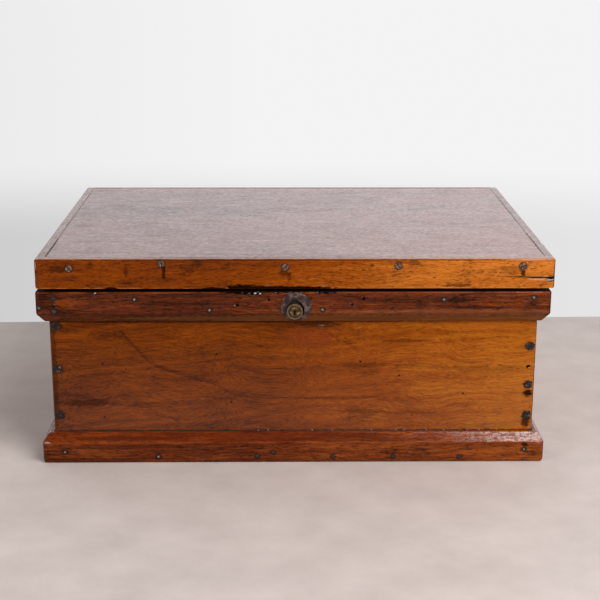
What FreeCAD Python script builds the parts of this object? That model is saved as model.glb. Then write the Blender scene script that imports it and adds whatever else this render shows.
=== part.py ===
import FreeCAD, Part
import os
from math import cos, pi, radians, sin, tan

"""Small mahogany chest with a dust-seal lid, in millimetres.

X runs to the right of someone facing the front, Y runs to the back and Z runs up. The origin is the
middle of the underside. The lid is shut and the lock is open.
"""

Vector = FreeCAD.Vector

# Carcase: two long boards, two end boards between them and a bottom nailed on from below.
# The lip is the part of the walls that reaches up inside the lid.
carcase_width = 522.0
carcase_depth = 370.0
wall_thickness = 13.0
end_thickness = 13.0
bottom_thickness = 10.0
lip_top = 215.0
lip_reach = 17.8
lip_chamfer = 1.5
carcase_corner_radius = 2.0

# Plinth: a mitred band round the foot
plinth_height = 32.8
plinth_thickness = 11.8
plinth_chamfer_depth = 7.0
plinth_chamfer_height = 9.6
plinth_foot_radius = 2.5
plinth_end_foot_radius = 5.5
plinth_arris_radius = 1.6
plinth_corner_radius = 3.5

# Collar: a mitred band under the lid
collar_height = 35.0
collar_thickness = 11.5
collar_chamfer_depth = 8.4
collar_chamfer_height = 11.5
collar_arris_radius = 1.8
collar_moulding_radius = 5.0
collar_corner_radius = 3.0

# Lid: a panel with a rim that reaches down outside the lip
parting_gap = 4.0
panel_thickness = 14.0
lid_front_overhang = 1.0
lid_side_overhang = 0.5
lid_shift = 1.5
rim_front_thickness = 11.0
rim_back_thickness = 10.0
rim_side_thickness = 9.5
rim_arris_radius = 1.0
rim_corner_radius = 2.5
rim_end_radius = 2.6
panel_end_gap = 0.5

# Butt hinges planted in the parting gap, each set in from the end of the carcase to its middle
hinge_inset = 91.0
hinge_length = 50.0
hinge_leaf_thickness = 1.5
hinge_leaf_margin = 0.3
hinge_knuckle_radius = 2.9
hinge_knuckle_count = 5
hinge_knuckle_gap = 0.15
hinge_gain_clearance = 0.25
hinge_pin_radius = 1.25
hinge_pin_clearance = 0.05
hinge_pin_dome = 0.4
hinge_stop_degrees = 100.0

# Barrel of the lock, its plug and the plate round it
lock_offset = 0.8
lock_height_share = 0.431
barrel_radius = 8.4
barrel_projection = 7.0
barrel_rim_width = 1.3
barrel_face_recess = 0.8
barrel_spigot_radius = 7.0
barrel_hole_radius = 9.6
barrel_hole_shift = 0.7
plug_radius = 5.0
plug_clearance = 0.05
plug_face_recess = 0.3
keyway_width = 1.6
keyway_height = 5.4
keyway_drop = 0.8
keyway_depth = 20.0
escutcheon_half_width = 16.7
escutcheon_half_height = 15.3
escutcheon_thickness = 1.2
escutcheon_bevel = 0.4
escutcheon_shift = 1.4
escutcheon_rise = 3.6
notch_radius = 4.7
notch_rise = 6.6
spur_radius = 0.8
spur_length = 5.0

# Lock case on the inside of the front wall
plate_half_width = 46.0
plate_thickness = 2.0
plate_drop = 65.0
selvedge_thickness = 2.0
selvedge_reach = 11.0
cover_half_width = 39.0
cover_depth = 10.9
cover_wall = 1.5
rivet_radius = 2.0
rivet_inset = 6.0
rivet_low_rise = 5.0
rivet_high_rise = 28.0

# Bolt, crank and the guides that carry the bolt
bolt_thickness = 3.5
bolt_layer = 2.8
bolt_bar_height = 8.0
bolt_bar_drop = 18.5
bolt_arm_width = 6.0
bolt_right_reach = 18.0
bolt_leg_width = 11.0
bolt_leg_tail = 2.5
finger_height = 5.8
finger_play = 0.6
finger_gap = 1.0
shoulder_clearance = 0.5
slide_clearance = 0.05
crank_radius = 5.5
crank_swing_degrees = 90.0
crank_pin_radius = 1.5
crank_pin_play = 0.4
cam_radius = 8.0
cam_thickness = 2.0
cam_clearance = 0.4
tang_width = 5.0
guide_depth = 7.6
guide_floor = 5.0
guide_rise = 2.0
guide_left_start = -27.0
guide_left_end = -12.0
guide_right_start = 11.0
guide_right_end = 24.0

# Link plate let into the lid, with two windowed lugs that pass through it
link_thickness = 2.0
link_seat_gap = 0.2
link_half_depth = 9.5
link_margin = 5.0
lug_thickness = 3.0
lug_depth = 7.3
lug_drop = 17.0
lug_spacing = 34.0
lug_left_offset = -21.0
lug_window_width = 4.3
lug_slot_play = 0.8
lug_swing_play = 1.0

# Wood screws and cut nails: head radius, shank radius, head depth, length
carcase_screw_head = 4.0
carcase_screw_shank = 1.9
carcase_screw_taper = 2.4
carcase_screw_length = 35.0
rim_screw_head = 3.5
rim_screw_shank = 1.6
rim_screw_taper = 2.0
rim_screw_length = 30.0
small_screw_head = 2.2
small_screw_shank = 1.2
small_screw_taper = 1.2
hinge_screw_length = 13.0
lock_screw_length = 10.0
link_screw_length = 9.0
nail_head_radius = 1.9
nail_head_depth = 1.0
nail_shank_width = 2.0
nail_tip_width = 1.0
band_nail_length = 21.0
bottom_nail_length = 30.0

# Places of the fasteners. Across: shares of the half width or half depth of the carcase or lid.
# Up: shares of the height of the wall, the band or the panel edge.
left_screw_shares = (0.694, 0.457, 0.203)
right_screw_shares = (0.581, 0.367, 0.196)
collar_front_shares = (
    (-0.97, 0.80), (-0.97, 0.39), (-0.644, 0.77), (-0.342, 0.43), (0.116, 0.44), (0.607, 0.75), (0.972, 0.81),
)
collar_back_shares = ((-0.9, 0.6), (-0.5, 0.45), (0.0, 0.6), (0.5, 0.45), (0.9, 0.6))
collar_end_shares = ((-0.86, 0.6), (-0.3, 0.45), (0.28, 0.62), (0.85, 0.5))
collar_corner_share = 0.68
collar_corner_height_share = 0.5
plinth_front_shares = (
    (-0.953, 0.39), (-0.565, 0.22), (-0.154, 0.22), (-0.087, 0.365),
    (0.163, 0.2), (0.415, 0.2), (0.693, 0.2), (0.963, 0.44),
)
plinth_back_shares = (
    (-0.953, 0.3), (-0.565, 0.24), (-0.154, 0.3), (0.163, 0.22), (0.693, 0.3), (0.963, 0.24),
)
plinth_end_shares = ((-0.8, 0.3), (-0.45, 0.22), (0.02, 0.3), (0.48, 0.22), (0.82, 0.3))
bottom_long_shares = (-0.77, -0.36, 0.04, 0.30, 0.55, 0.83)
bottom_end_shares = (-0.62, -0.22, 0.25, 0.65)
rim_front_shares = ((-0.868, 0.27), (-0.514, 0.65), (-0.04, 0.36), (0.395, 0.48), (0.875, 0.42))
rim_back_shares = ((-0.85, 0.5), (-0.3, 0.42), (0.3, 0.5), (0.85, 0.42))
rim_end_shares = ((-0.62, 0.5), (0.03, 0.42), (0.64, 0.5))
hinge_screw_shares = (-0.68, 0.0, 0.68)

# One overrun serves all cuts
overrun = 1.0

# Worked out from the sizes above
half_width = carcase_width / 2
half_depth = carcase_depth / 2
inner_half_width = half_width - end_thickness
inner_half_depth = half_depth - wall_thickness
lid_bottom = lip_top - lip_reach
collar_top = lid_bottom - parting_gap
collar_bottom = collar_top - collar_height
collar_half_width = half_width + collar_thickness
collar_half_depth = half_depth + collar_thickness
plinth_half_width = half_width + plinth_thickness
plinth_half_depth = half_depth + plinth_thickness
lid_top = lip_top + panel_thickness
lid_left = lid_shift - collar_half_width - lid_side_overhang
lid_right = lid_shift + collar_half_width + lid_side_overhang
lid_front = -collar_half_depth - lid_front_overhang
lid_back = collar_half_depth
panel_front = lid_front + rim_front_thickness
panel_back = lid_back - rim_back_thickness
panel_left = lid_left + rim_side_thickness
panel_right = lid_right - rim_side_thickness

# The two back arrises meet when the lid has turned through the stop angle
hinge_offset = half_width - hinge_inset
hinge_axis_height = collar_top + parting_gap / 2
hinge_axis_depth = collar_half_depth - parting_gap / 2 / tan(radians(hinge_stop_degrees / 2))

# Lock layers, counted to the back from the inner face of the front wall
lock_height = collar_bottom + lock_height_share * collar_height
wall_inner = -inner_half_depth
plate_back = wall_inner + plate_thickness
cam_front = plate_back + cam_clearance
cam_back = cam_front + cam_thickness
bolt_front = wall_inner + plate_thickness + bolt_layer
bolt_back = bolt_front + bolt_thickness
bolt_middle = (bolt_front + bolt_back) / 2
cover_back = plate_back + cover_depth
plate_bottom = lip_top - plate_drop
selvedge_bottom = lip_top - selvedge_thickness

# Bolt heights and travel: the crank swings evenly to both sides of upright
crank_half_swing = radians(crank_swing_degrees / 2)
crank_reach = crank_radius * sin(crank_half_swing)
crank_rise = crank_radius * cos(crank_half_swing)
bolt_travel = 2 * crank_reach
bar_top = lip_top - bolt_bar_drop
bar_bottom = bar_top - bolt_bar_height
lug_bottom = lip_top - lug_drop
window_bottom = lug_bottom + lug_thickness
window_height = finger_height + 2 * finger_play
finger_bottom = window_bottom + finger_play
finger_length = bolt_travel - finger_gap + shoulder_clearance
link_bottom = lip_top + link_seat_gap
link_top = link_bottom + link_thickness


# Basic shapes

def block(x_ends, y_ends, z_ends):
    """Upright box between two places along each axis."""
    size = [ends[1] - ends[0] for ends in (x_ends, y_ends, z_ends)]
    return Part.makeBox(size[0], size[1], size[2], Vector(x_ends[0], y_ends[0], z_ends[0]))


def edges_at_height(shape, height):
    """Level edges of a shape at one height."""
    return [edge for edge in shape.Edges if all(abs(v.Z - height) < Part.Precision.confusion()
                                                for v in edge.Vertexes)]


def upright_edges(shape):
    """Edges of a shape that stand upright."""
    return [edge for edge in shape.Edges if abs(edge.tangentAt(edge.FirstParameter).z) > cos(pi / 4)]


def worn_block(x_ends, y_ends, z_ends, corner_radius):
    """Upright box whose four standing corners are worn round."""
    solid = block(x_ends, y_ends, z_ends)
    return solid.makeFillet(corner_radius, upright_edges(solid))


def worn_ends(x_ends, y_ends, z_ends, low_radius, high_radius):
    """Block along Y whose lower and upper arrises at both ends are worn round."""
    points = [
        (x_ends[0], z_ends[0]),
        (x_ends[1], z_ends[0]),
        (x_ends[1], z_ends[1]),
        (x_ends[0], z_ends[1]),
    ]
    face = softened_outline(points, (low_radius, low_radius, high_radius, high_radius),
                            lambda p: Vector(p[0], y_ends[0], p[1]))
    return face.extrude(Vector(0, y_ends[1] - y_ends[0], 0))


def softened_outline(points, radii, lift):
    """Closed face through plane points, each corner rounded to its radius; lift turns a pair into a place."""
    pieces = []
    count = len(points)
    starts = []
    ends = []
    for index, radius in enumerate(radii):
        corner = lift(points[index])
        before = (lift(points[index - 1]) - corner).normalize()
        after = (lift(points[(index + 1) % count]) - corner).normalize()
        half_angle = before.getAngle(after) / 2
        back_off = radius / tan(half_angle)
        starts.append(corner + before * back_off)
        ends.append(corner + after * back_off)
        if radius > 0:
            inward = (before + after).normalize()
            middle = corner + inward * (radius / sin(half_angle) - radius)
            pieces.append(Part.Arc(starts[index], middle, ends[index]).toShape())
    for index in range(count):
        pieces.append(Part.makeLine(ends[index - 1], starts[index]))
    return Part.Face(Part.Wire(Part.__sortEdges__(pieces)))


def rod(radius, start, end):
    """Round bar between two places."""
    axis = end - start
    return Part.makeCylinder(radius, axis.Length, start, axis)


def united(shapes):
    """One solid from shapes that meet."""
    return shapes[0].fuse(shapes[1:]).removeSplitter()


# Fasteners, built with the head level with the origin and the shank along +Z

def wood_screw(head_radius, shank_radius, taper, length):
    """Countersunk wood screw, turned about its axis."""
    outline = [
        Vector(0, 0, 0),
        Vector(head_radius, 0, 0),
        Vector(shank_radius, 0, taper),
        Vector(shank_radius, 0, length - shank_radius),
        Vector(0, 0, length),
        Vector(0, 0, 0),
    ]
    return Part.Face(Part.makePolygon(outline)).revolve(Vector(0, 0, 0), Vector(0, 0, 1), 360)


def cut_nail(length):
    """Cut nail: a round flattened head on a square shank that tapers to its tip."""
    head = Part.makeCylinder(nail_head_radius, nail_head_depth)
    rings = []
    for width, depth in ((nail_shank_width, 0), (nail_tip_width, length)):
        ring = Part.makePlane(width, width, Vector(-width / 2, -width / 2, depth)).OuterWire
        rings.append(ring)
    return united([head, Part.makeLoft(rings, True, True)])


def driven(fastener, places, direction):
    """Copies of a fastener driven in at each place."""
    turn = FreeCAD.Rotation(Vector(0, 0, 1), direction)
    copies = []
    for place in places:
        copy = fastener.copy()
        copy.Placement = FreeCAD.Placement(place, turn)
        copies.append(copy)
    return copies


into_front = Vector(0, 1, 0)
into_back = Vector(0, -1, 0)
into_left = Vector(1, 0, 0)
into_right = Vector(-1, 0, 0)
downward = Vector(0, 0, -1)
upward = Vector(0, 0, 1)


def carcase_screws():
    """Screws through the long boards into the ends of the end boards."""
    screw = wood_screw(carcase_screw_head, carcase_screw_shank, carcase_screw_taper,
                       carcase_screw_length)
    across = half_width - end_thickness / 2
    rise = lip_top - bottom_thickness
    front = []
    back = []
    for side, shares in ((-across, left_screw_shares), (across, right_screw_shares)):
        for share in shares:
            height = bottom_thickness + share * rise
            front.append(Vector(side, -half_depth, height))
            back.append(Vector(side, half_depth, height))
    return driven(screw, front, into_front) + driven(screw, back, into_back)


def band_nails(front_shares, back_shares, end_shares, seat_width, seat_depth, bottom, height):
    """Nails through the four boards of a band into the carcase."""
    nail = cut_nail(band_nail_length)
    front = [Vector(a * half_width, -seat_depth, bottom + b * height) for a, b in front_shares]
    back = [Vector(a * half_width, seat_depth, bottom + b * height) for a, b in back_shares]
    left = [Vector(-seat_width, a * half_depth, bottom + b * height) for a, b in end_shares]
    right = [Vector(seat_width, a * half_depth, bottom + b * height) for a, b in end_shares]
    return (driven(nail, front, into_front) + driven(nail, back, into_back)
            + driven(nail, left, into_left) + driven(nail, right, into_right))


def collar_nails():
    """Nails of the collar, with one more through the left front mitre."""
    nails = band_nails(collar_front_shares, collar_back_shares, collar_end_shares,
                       collar_half_width, collar_half_depth, collar_bottom, collar_height)
    corner = Vector(
        -half_width - collar_corner_share * collar_thickness,
        -collar_half_depth,
        collar_bottom + collar_corner_height_share * collar_height,
    )
    return nails + driven(cut_nail(band_nail_length), [corner], into_front)


def plinth_nails():
    """Nails of the plinth."""
    return band_nails(plinth_front_shares, plinth_back_shares, plinth_end_shares,
                      plinth_half_width, plinth_half_depth, 0, plinth_height)


def bottom_nails():
    """Nails driven up through the bottom board into the walls."""
    along = half_depth - wall_thickness / 2
    across = half_width - end_thickness / 2
    places = []
    for side in (-1, 1):
        places += [Vector(share * half_width, side * along, 0) for share in bottom_long_shares]
        places += [Vector(side * across, share * half_depth, 0) for share in bottom_end_shares]
    return driven(cut_nail(bottom_nail_length), places, upward)


def rim_screws():
    """Screws through the lid rim into the edges of the panel."""
    screw = wood_screw(rim_screw_head, rim_screw_shank, rim_screw_taper, rim_screw_length)
    half_lid = (lid_right - lid_left) / 2

    def height(share):
        """Height at a share of the panel's edge."""
        return lip_top + share * panel_thickness

    front = [Vector(lid_shift + a * half_lid, lid_front, height(b)) for a, b in rim_front_shares]
    back = [Vector(lid_shift + a * half_lid, lid_back, height(b)) for a, b in rim_back_shares]
    left = [Vector(lid_left, a * half_depth, height(b)) for a, b in rim_end_shares]
    right = [Vector(lid_right, a * half_depth, height(b)) for a, b in rim_end_shares]
    return (driven(screw, front, into_front) + driven(screw, back, into_back)
            + driven(screw, left, into_left) + driven(screw, right, into_right))


# Carcase boards

def carcase_envelope():
    """Outside of the carcase with worn corners and an eased lip."""
    solid = worn_block((-half_width, half_width), (-half_depth, half_depth), (0, lip_top),
                       carcase_corner_radius)
    return solid.makeChamfer(lip_chamfer, edges_at_height(solid, lip_top))


def carcase_boards():
    """Long boards, end boards and bottom, before any hole."""
    envelope = carcase_envelope()
    walls = (bottom_thickness, lip_top)
    ends = (-inner_half_depth, inner_half_depth)
    across = (-half_width, half_width)
    blanks = {
        "front_board": block(across, (-half_depth, -inner_half_depth), walls),
        "back_board": block(across, (inner_half_depth, half_depth), walls),
        "left_end_board": block((-half_width, -inner_half_width), ends, walls),
        "right_end_board": block((inner_half_width, half_width), ends, walls),
        "bottom_board": block(across, (-half_depth, half_depth), (0, bottom_thickness)),
    }
    return {name: blank.common(envelope) for name, blank in blanks.items()}


# Mitred bands

def collar_profile(seat):
    """Section of the collar, with a rounded chamfer under its outer face."""
    points = [
        (0, collar_bottom),
        (collar_thickness - collar_chamfer_depth, collar_bottom),
        (collar_thickness, collar_bottom + collar_chamfer_height),
        (collar_thickness, collar_top),
        (0, collar_top),
    ]
    radii = (0, collar_moulding_radius, collar_moulding_radius, collar_arris_radius, 0)
    return softened_outline(points, radii, lambda p: Vector(0, -seat - p[0], p[1]))


def plinth_profile(seat):
    """Section of the plinth, chamfered above its outer face and worn at the foot."""
    points = [
        (0, 0),
        (plinth_thickness, 0),
        (plinth_thickness, plinth_height - plinth_chamfer_height),
        (plinth_thickness - plinth_chamfer_depth, plinth_height),
        (0, plinth_height),
    ]
    arris = plinth_arris_radius
    return softened_outline(points, (0, plinth_foot_radius, arris, arris, 0),
                            lambda p: Vector(0, -seat - p[0], p[1]))


def mitred_board(profile, half_span, seat, thickness, bottom, top):
    """Board run from a section along the front, mitred at both ends."""
    reach = half_span + thickness
    section = profile(seat)
    section.translate(Vector(-reach, 0, 0))
    run = section.extrude(Vector(2 * reach, 0, 0))
    plan = Part.makePolygon([
        Vector(-half_span, -seat, bottom),
        Vector(half_span, -seat, bottom),
        Vector(reach, -seat - thickness, bottom),
        Vector(-reach, -seat - thickness, bottom),
        Vector(-half_span, -seat, bottom),
    ])
    return run.common(Part.Face(plan).extrude(Vector(0, 0, top - bottom)))


def band(prefix, profile, thickness, bottom, top, corner_radius, foot_radius):
    """Four mitred boards round the carcase, with worn corners and feet worn round at both ends."""
    reach_x = half_width + thickness
    reach_y = half_depth + thickness
    outline = ((-reach_x, reach_x), (-reach_y, reach_y), (bottom, top))
    outside = worn_block(*outline, corner_radius).common(worn_ends(*outline, foot_radius, 0))
    boards = {}
    for quarter, side in enumerate(("front", "right", "back", "left")):
        spans = (half_width, half_depth) if quarter % 2 == 0 else (half_depth, half_width)
        board = mitred_board(profile, spans[0], spans[1], thickness, bottom, top)
        board.rotate(Vector(0, 0, 0), Vector(0, 0, 1), quarter * 90)
        boards[prefix + "_" + side] = board.common(outside)
    return boards


# Lid boards

def lid_envelope():
    """Outside of the lid, its corners and arrises worn round."""
    outline = ((lid_left, lid_right), (lid_front, lid_back), (lid_bottom, lid_top))
    solid = worn_block(*outline, rim_corner_radius)
    softened = solid.makeFillet(rim_arris_radius, edges_at_height(solid, lid_top))
    return softened.common(worn_ends(*outline, rim_end_radius, rim_end_radius))


def lid_boards():
    """Panel and the four rim boards, before any hole."""
    envelope = lid_envelope()
    full_height = (lid_bottom, lid_top)
    side_run = (panel_front, lid_back)
    blanks = {
        "lid_panel": block((panel_left + panel_end_gap, panel_right - panel_end_gap),
                           (panel_front, panel_back), (lip_top, lid_top)),
        "lid_rim_front": block((lid_left, lid_right), (lid_front, panel_front), full_height),
        "lid_rim_back": block((panel_left, panel_right), (panel_back, lid_back), full_height),
        "lid_rim_left": block((lid_left, panel_left), side_run, full_height),
        "lid_rim_right": block((panel_right, lid_right), side_run, full_height),
    }
    return {name: blank.common(envelope) for name, blank in blanks.items()}


# Hinges

def hinge_gains():
    """Hollows scooped in the back arrises for the knuckles."""
    radius = hinge_knuckle_radius + hinge_gain_clearance
    gains = []
    for centre in (-hinge_offset, hinge_offset):
        start = Vector(centre - hinge_length / 2 - hinge_gain_clearance, hinge_axis_depth, hinge_axis_height)
        length = hinge_length + 2 * hinge_gain_clearance
        gains.append(rod(radius, start, start + Vector(length, 0, 0)))
    return gains


def leaf_ends(inner_edge):
    """Depth of a leaf's inner edge, and of the middle of its screw row."""
    edge = inner_edge + hinge_leaf_margin
    knuckle_edge = hinge_axis_depth - hinge_knuckle_radius - hinge_gain_clearance
    return edge, (edge + knuckle_edge) / 2


def hinge_screw_places(centre, inner_edge, height):
    """Places of one leaf's screws."""
    row = leaf_ends(inner_edge)[1]
    return [Vector(centre + share * hinge_length / 2, row, height) for share in hinge_screw_shares]


def hinge_leaf(centre, inner_edge, plate_bottom_height, own_knuckles, bore_radius):
    """One leaf: a plate with its knuckles rolled round the pin."""
    pitch = hinge_length / hinge_knuckle_count
    left = centre - hinge_length / 2
    edge = leaf_ends(inner_edge)[0]
    solid = block((left, left + hinge_length), (edge, hinge_axis_depth),
                  (plate_bottom_height, plate_bottom_height + hinge_leaf_thickness))
    axis = Vector(0, hinge_axis_depth, hinge_axis_height)
    for index in range(hinge_knuckle_count):
        start = axis + Vector(left + index * pitch, 0, 0)
        end = start + Vector(pitch, 0, 0)
        if index in own_knuckles:
            trim = Vector(hinge_knuckle_gap / 2, 0, 0)
            solid = united([solid, rod(hinge_knuckle_radius, start + trim, end - trim)])
        else:
            slack = Vector(hinge_knuckle_gap / 2, 0, 0)
            solid = solid.cut(rod(hinge_knuckle_radius + hinge_gain_clearance, start - slack, end + slack))
    run = Vector(overrun, 0, 0)
    bore = rod(bore_radius, axis + Vector(left, 0, 0) - run, axis + Vector(left + hinge_length, 0, 0) + run)
    return solid.cut(bore)


def hinge_pin(centre):
    """Pin with shallow domed ends."""
    start = Vector(centre - hinge_length / 2, hinge_axis_depth, hinge_axis_height)
    end = start + Vector(hinge_length, 0, 0)
    pin = rod(hinge_pin_radius, start, end)
    return pin.makeChamfer(hinge_pin_dome, [edge for edge in pin.Edges if edge.Closed])


def hinges():
    """Both hinges with their leaf screws: nodes, then the case screws and the lid screws."""
    screw = wood_screw(small_screw_head, small_screw_shank, small_screw_taper, hinge_screw_length)
    case_leaf_top = collar_top + hinge_leaf_thickness
    lid_leaf_bottom = lid_bottom - hinge_leaf_thickness
    nodes = {}
    case_screws = []
    lid_screws = []
    for side, centre in (("left", -hinge_offset), ("right", hinge_offset)):
        down = driven(screw, hinge_screw_places(centre, half_depth, case_leaf_top), downward)
        up = driven(screw, hinge_screw_places(centre, panel_back, lid_leaf_bottom), upward)
        case_leaf = hinge_leaf(centre, half_depth, collar_top, (0, 2, 4), hinge_pin_radius)
        lid_leaf = hinge_leaf(centre, panel_back, lid_leaf_bottom, (1, 3),
                              hinge_pin_radius + hinge_pin_clearance)
        nodes["hinge_" + side + "_case_leaf"] = case_leaf.cut(down)
        nodes["hinge_" + side + "_lid_leaf"] = lid_leaf.cut(up)
        nodes["hinge_" + side + "_pin"] = hinge_pin(centre)
        case_screws += down
        lid_screws += up
    return nodes, case_screws, lid_screws


# Lock: what shows outside

def lock_axis(depth):
    """Place on the lock's axis at one depth."""
    return Vector(lock_offset, depth, lock_height)


def lock_opening(front, back):
    """Round hole for the barrel, worn to one side, joined to the round top of the old keyhole."""
    worn = Vector(barrel_hole_shift, 0, 0)
    raised = Vector(barrel_hole_shift, 0, notch_rise)
    hole = rod(barrel_hole_radius, lock_axis(front) + worn, lock_axis(back) + worn)
    notch = rod(notch_radius, lock_axis(front) + raised, lock_axis(back) + raised)
    return united([hole, notch])


def escutcheon_centre():
    """Middle of the plate's back, a little up and to the right of the lock."""
    return lock_axis(-collar_half_depth) + Vector(escutcheon_shift, 0, escutcheon_rise)


def escutcheon_spurs():
    """Two short spurs driven into the collar behind the plate."""
    reach = (escutcheon_half_width + barrel_hole_radius) / 2
    spurs = []
    for side in (-reach, reach):
        start = escutcheon_centre() + Vector(side, 0, 0)
        spurs.append(rod(spur_radius, start, start + Vector(0, spur_length, 0)))
    return spurs


def escutcheon():
    """Oval iron plate on the collar with an eased rim."""
    outline = Part.Ellipse(Vector(0, 0, 0), escutcheon_half_width, escutcheon_half_height)
    disc = Part.Face(Part.Wire(outline.toShape())).extrude(Vector(0, 0, escutcheon_thickness))
    rim = [edge for edge in disc.Edges if edge.Closed and edge.CenterOfMass.z > escutcheon_bevel]
    disc = disc.makeChamfer(escutcheon_bevel, rim)
    upright = FreeCAD.Rotation(Vector(0, 0, 1), -into_front)
    disc.Placement = FreeCAD.Placement(escutcheon_centre(), upright)
    opening = lock_opening(-collar_half_depth - escutcheon_thickness - overrun, -collar_half_depth + overrun)
    return united([disc.cut(opening)] + escutcheon_spurs())


def lock_barrel():
    """Brass tube with a raised rim, shouldered against the lock plate."""
    face = -collar_half_depth - barrel_projection
    recess = face + barrel_face_recess
    tube = rod(barrel_radius, lock_axis(face), lock_axis(wall_inner))
    spigot = rod(barrel_spigot_radius, lock_axis(wall_inner), lock_axis(plate_back))
    dish = rod(barrel_radius - barrel_rim_width, lock_axis(face - overrun), lock_axis(recess))
    bore = rod(plug_radius + plug_clearance, lock_axis(face - overrun), lock_axis(plate_back + overrun))
    return united([tube, spigot]).cut([dish, bore])


def tang():
    """Square end of the plug, where the cam sits."""
    return block((lock_offset - tang_width / 2, lock_offset + tang_width / 2), (cam_front, cam_back),
                 (lock_height - tang_width / 2, lock_height + tang_width / 2))


def lock_plug():
    """Plug with its keyway and square tang."""
    face = -collar_half_depth - barrel_projection + plug_face_recess
    body = rod(plug_radius, lock_axis(face), lock_axis(cam_front))
    middle = lock_height - keyway_drop
    keyway = block((lock_offset - keyway_width / 2, lock_offset + keyway_width / 2),
                   (face - overrun, face + keyway_depth),
                   (middle - keyway_height / 2, middle + keyway_height / 2))
    return united([body, tang()]).cut(keyway)


# Lock: the works inside

def lock_cam():
    """Disc on the tang with a crank pin that drives the bolt."""
    disc = rod(cam_radius, lock_axis(cam_front), lock_axis(cam_back))
    offset = Vector(-crank_reach, 0, crank_rise)
    pin = rod(crank_pin_radius, lock_axis(cam_front) + offset, lock_axis(bolt_back + crank_pin_play) + offset)
    return united([disc, pin]).cut(tang())


def bolt_outline():
    """Corners of the bolt at rest: a bar, a leg down to the crank and two arms with fingers."""
    leg_left = -crank_reach - bolt_leg_width / 2
    leg_right = -crank_reach + bolt_leg_width / 2
    leg_bottom = lock_height + crank_rise - crank_pin_radius - bolt_leg_tail
    finger_top = finger_bottom + finger_height
    left_tip = lug_left_offset - finger_gap
    right_tip = left_tip + lug_spacing
    left_arm = left_tip - finger_length
    right_arm = right_tip - finger_length
    return [
        (left_arm - bolt_arm_width, bar_bottom),
        (leg_left, bar_bottom),
        (leg_left, leg_bottom),
        (leg_right, leg_bottom),
        (leg_right, bar_bottom),
        (bolt_right_reach, bar_bottom),
        (bolt_right_reach, bar_top),
        (right_arm, bar_top),
        (right_arm, finger_bottom),
        (right_tip, finger_bottom),
        (right_tip, finger_top),
        (right_arm - bolt_arm_width, finger_top),
        (right_arm - bolt_arm_width, bar_top),
        (left_arm, bar_top),
        (left_arm, finger_bottom),
        (left_tip, finger_bottom),
        (left_tip, finger_top),
        (left_arm - bolt_arm_width, finger_top),
    ]


def lock_bolt():
    """Flat bolt with a slot for the crank pin."""
    corners = [Vector(lock_offset + x, bolt_front, z) for x, z in bolt_outline()]
    plate = Part.Face(Part.makePolygon(corners + corners[:1])).extrude(Vector(0, bolt_thickness, 0))
    half_slot = crank_pin_radius + crank_pin_play
    middle = lock_offset - crank_reach
    slot = block((middle - half_slot, middle + half_slot), (bolt_front - overrun, bolt_back + overrun),
                 (lock_height + crank_rise - half_slot, lock_height + crank_radius + half_slot))
    return plate.cut(slot)


def bolt_guides():
    """Two grooved blocks on the lock plate that the bar slides in."""
    guides = []
    for start, end in ((guide_left_start, guide_left_end), (guide_right_start, guide_right_end)):
        x_ends = (lock_offset + start, lock_offset + end)
        guide = block(x_ends, (plate_back, plate_back + guide_depth),
                      (bar_bottom - guide_floor, bar_bottom + guide_rise))
        groove = block((x_ends[0] - overrun, x_ends[1] + overrun),
                       (bolt_front - slide_clearance, bolt_back + slide_clearance),
                       (bar_bottom - slide_clearance, bar_top))
        guides.append(guide.cut(groove))
    return guides


def selvedge():
    """Top strip of the lock, let in level with the lip."""
    return block((lock_offset - plate_half_width, lock_offset + plate_half_width),
                 (wall_inner - selvedge_reach, cover_back), (selvedge_bottom, lip_top))


def lug_left_edges():
    """Left face of each lug."""
    return (lock_offset + lug_left_offset, lock_offset + lug_left_offset + lug_spacing)


def lug_slots():
    """Openings in the selvedge that the lugs drop through."""
    front = bolt_middle - lug_depth / 2 - lug_slot_play
    back = bolt_middle + lug_depth / 2 + lug_swing_play
    slots = []
    for left in lug_left_edges():
        slots.append(block((left - lug_slot_play, left + lug_thickness + lug_slot_play), (front, back),
                           (selvedge_bottom - overrun, lip_top + overrun)))
    return slots


def lock_rivets():
    """Rivets that hold the cover to the plate."""
    rivets = []
    for side in (-1, 1):
        for rise in (rivet_low_rise, rivet_high_rise):
            across = lock_offset + side * (cover_half_width - rivet_inset)
            start = Vector(across, wall_inner, plate_bottom + rise)
            rivets.append(rod(rivet_radius, start, start + Vector(0, cover_back - wall_inner, 0)))
    return rivets


def lock_screws():
    """Screws through the plate's ears and down through the selvedge."""
    screw = wood_screw(small_screw_head, small_screw_shank, small_screw_taper, lock_screw_length)
    across = (cover_half_width + plate_half_width) / 2
    ears = []
    tops = []
    for side in (-across, across):
        for height in (plate_bottom + rivet_low_rise, plate_bottom + plate_drop - 2 * lock_screw_length):
            ears.append(Vector(lock_offset + side, plate_back, height))
        tops.append(Vector(lock_offset + side, wall_inner - selvedge_reach / 2, lip_top))
    return driven(screw, ears, into_back) + driven(screw, tops, downward)


def lock_plate():
    """Back plate, selvedge and bolt guides in one piece."""
    plate = block((lock_offset - plate_half_width, lock_offset + plate_half_width), (wall_inner, plate_back),
                  (plate_bottom, selvedge_bottom))
    hole = rod(barrel_spigot_radius, lock_axis(wall_inner - overrun), lock_axis(plate_back + overrun))
    solid = united([plate, selvedge()] + bolt_guides())
    return solid.cut([hole] + lug_slots() + lock_rivets() + lock_screws())


def lock_cover():
    """Cap over the works, open at the top and towards the plate."""
    outer = block((lock_offset - cover_half_width, lock_offset + cover_half_width), (plate_back, cover_back),
                  (plate_bottom, selvedge_bottom))
    inner_half = cover_half_width - cover_wall
    inner = block((lock_offset - inner_half, lock_offset + inner_half),
                  (plate_back - overrun, cover_back - cover_wall),
                  (plate_bottom + cover_wall, selvedge_bottom + overrun))
    return outer.cut(inner).cut(lock_rivets())


# Link plate under the lid

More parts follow.
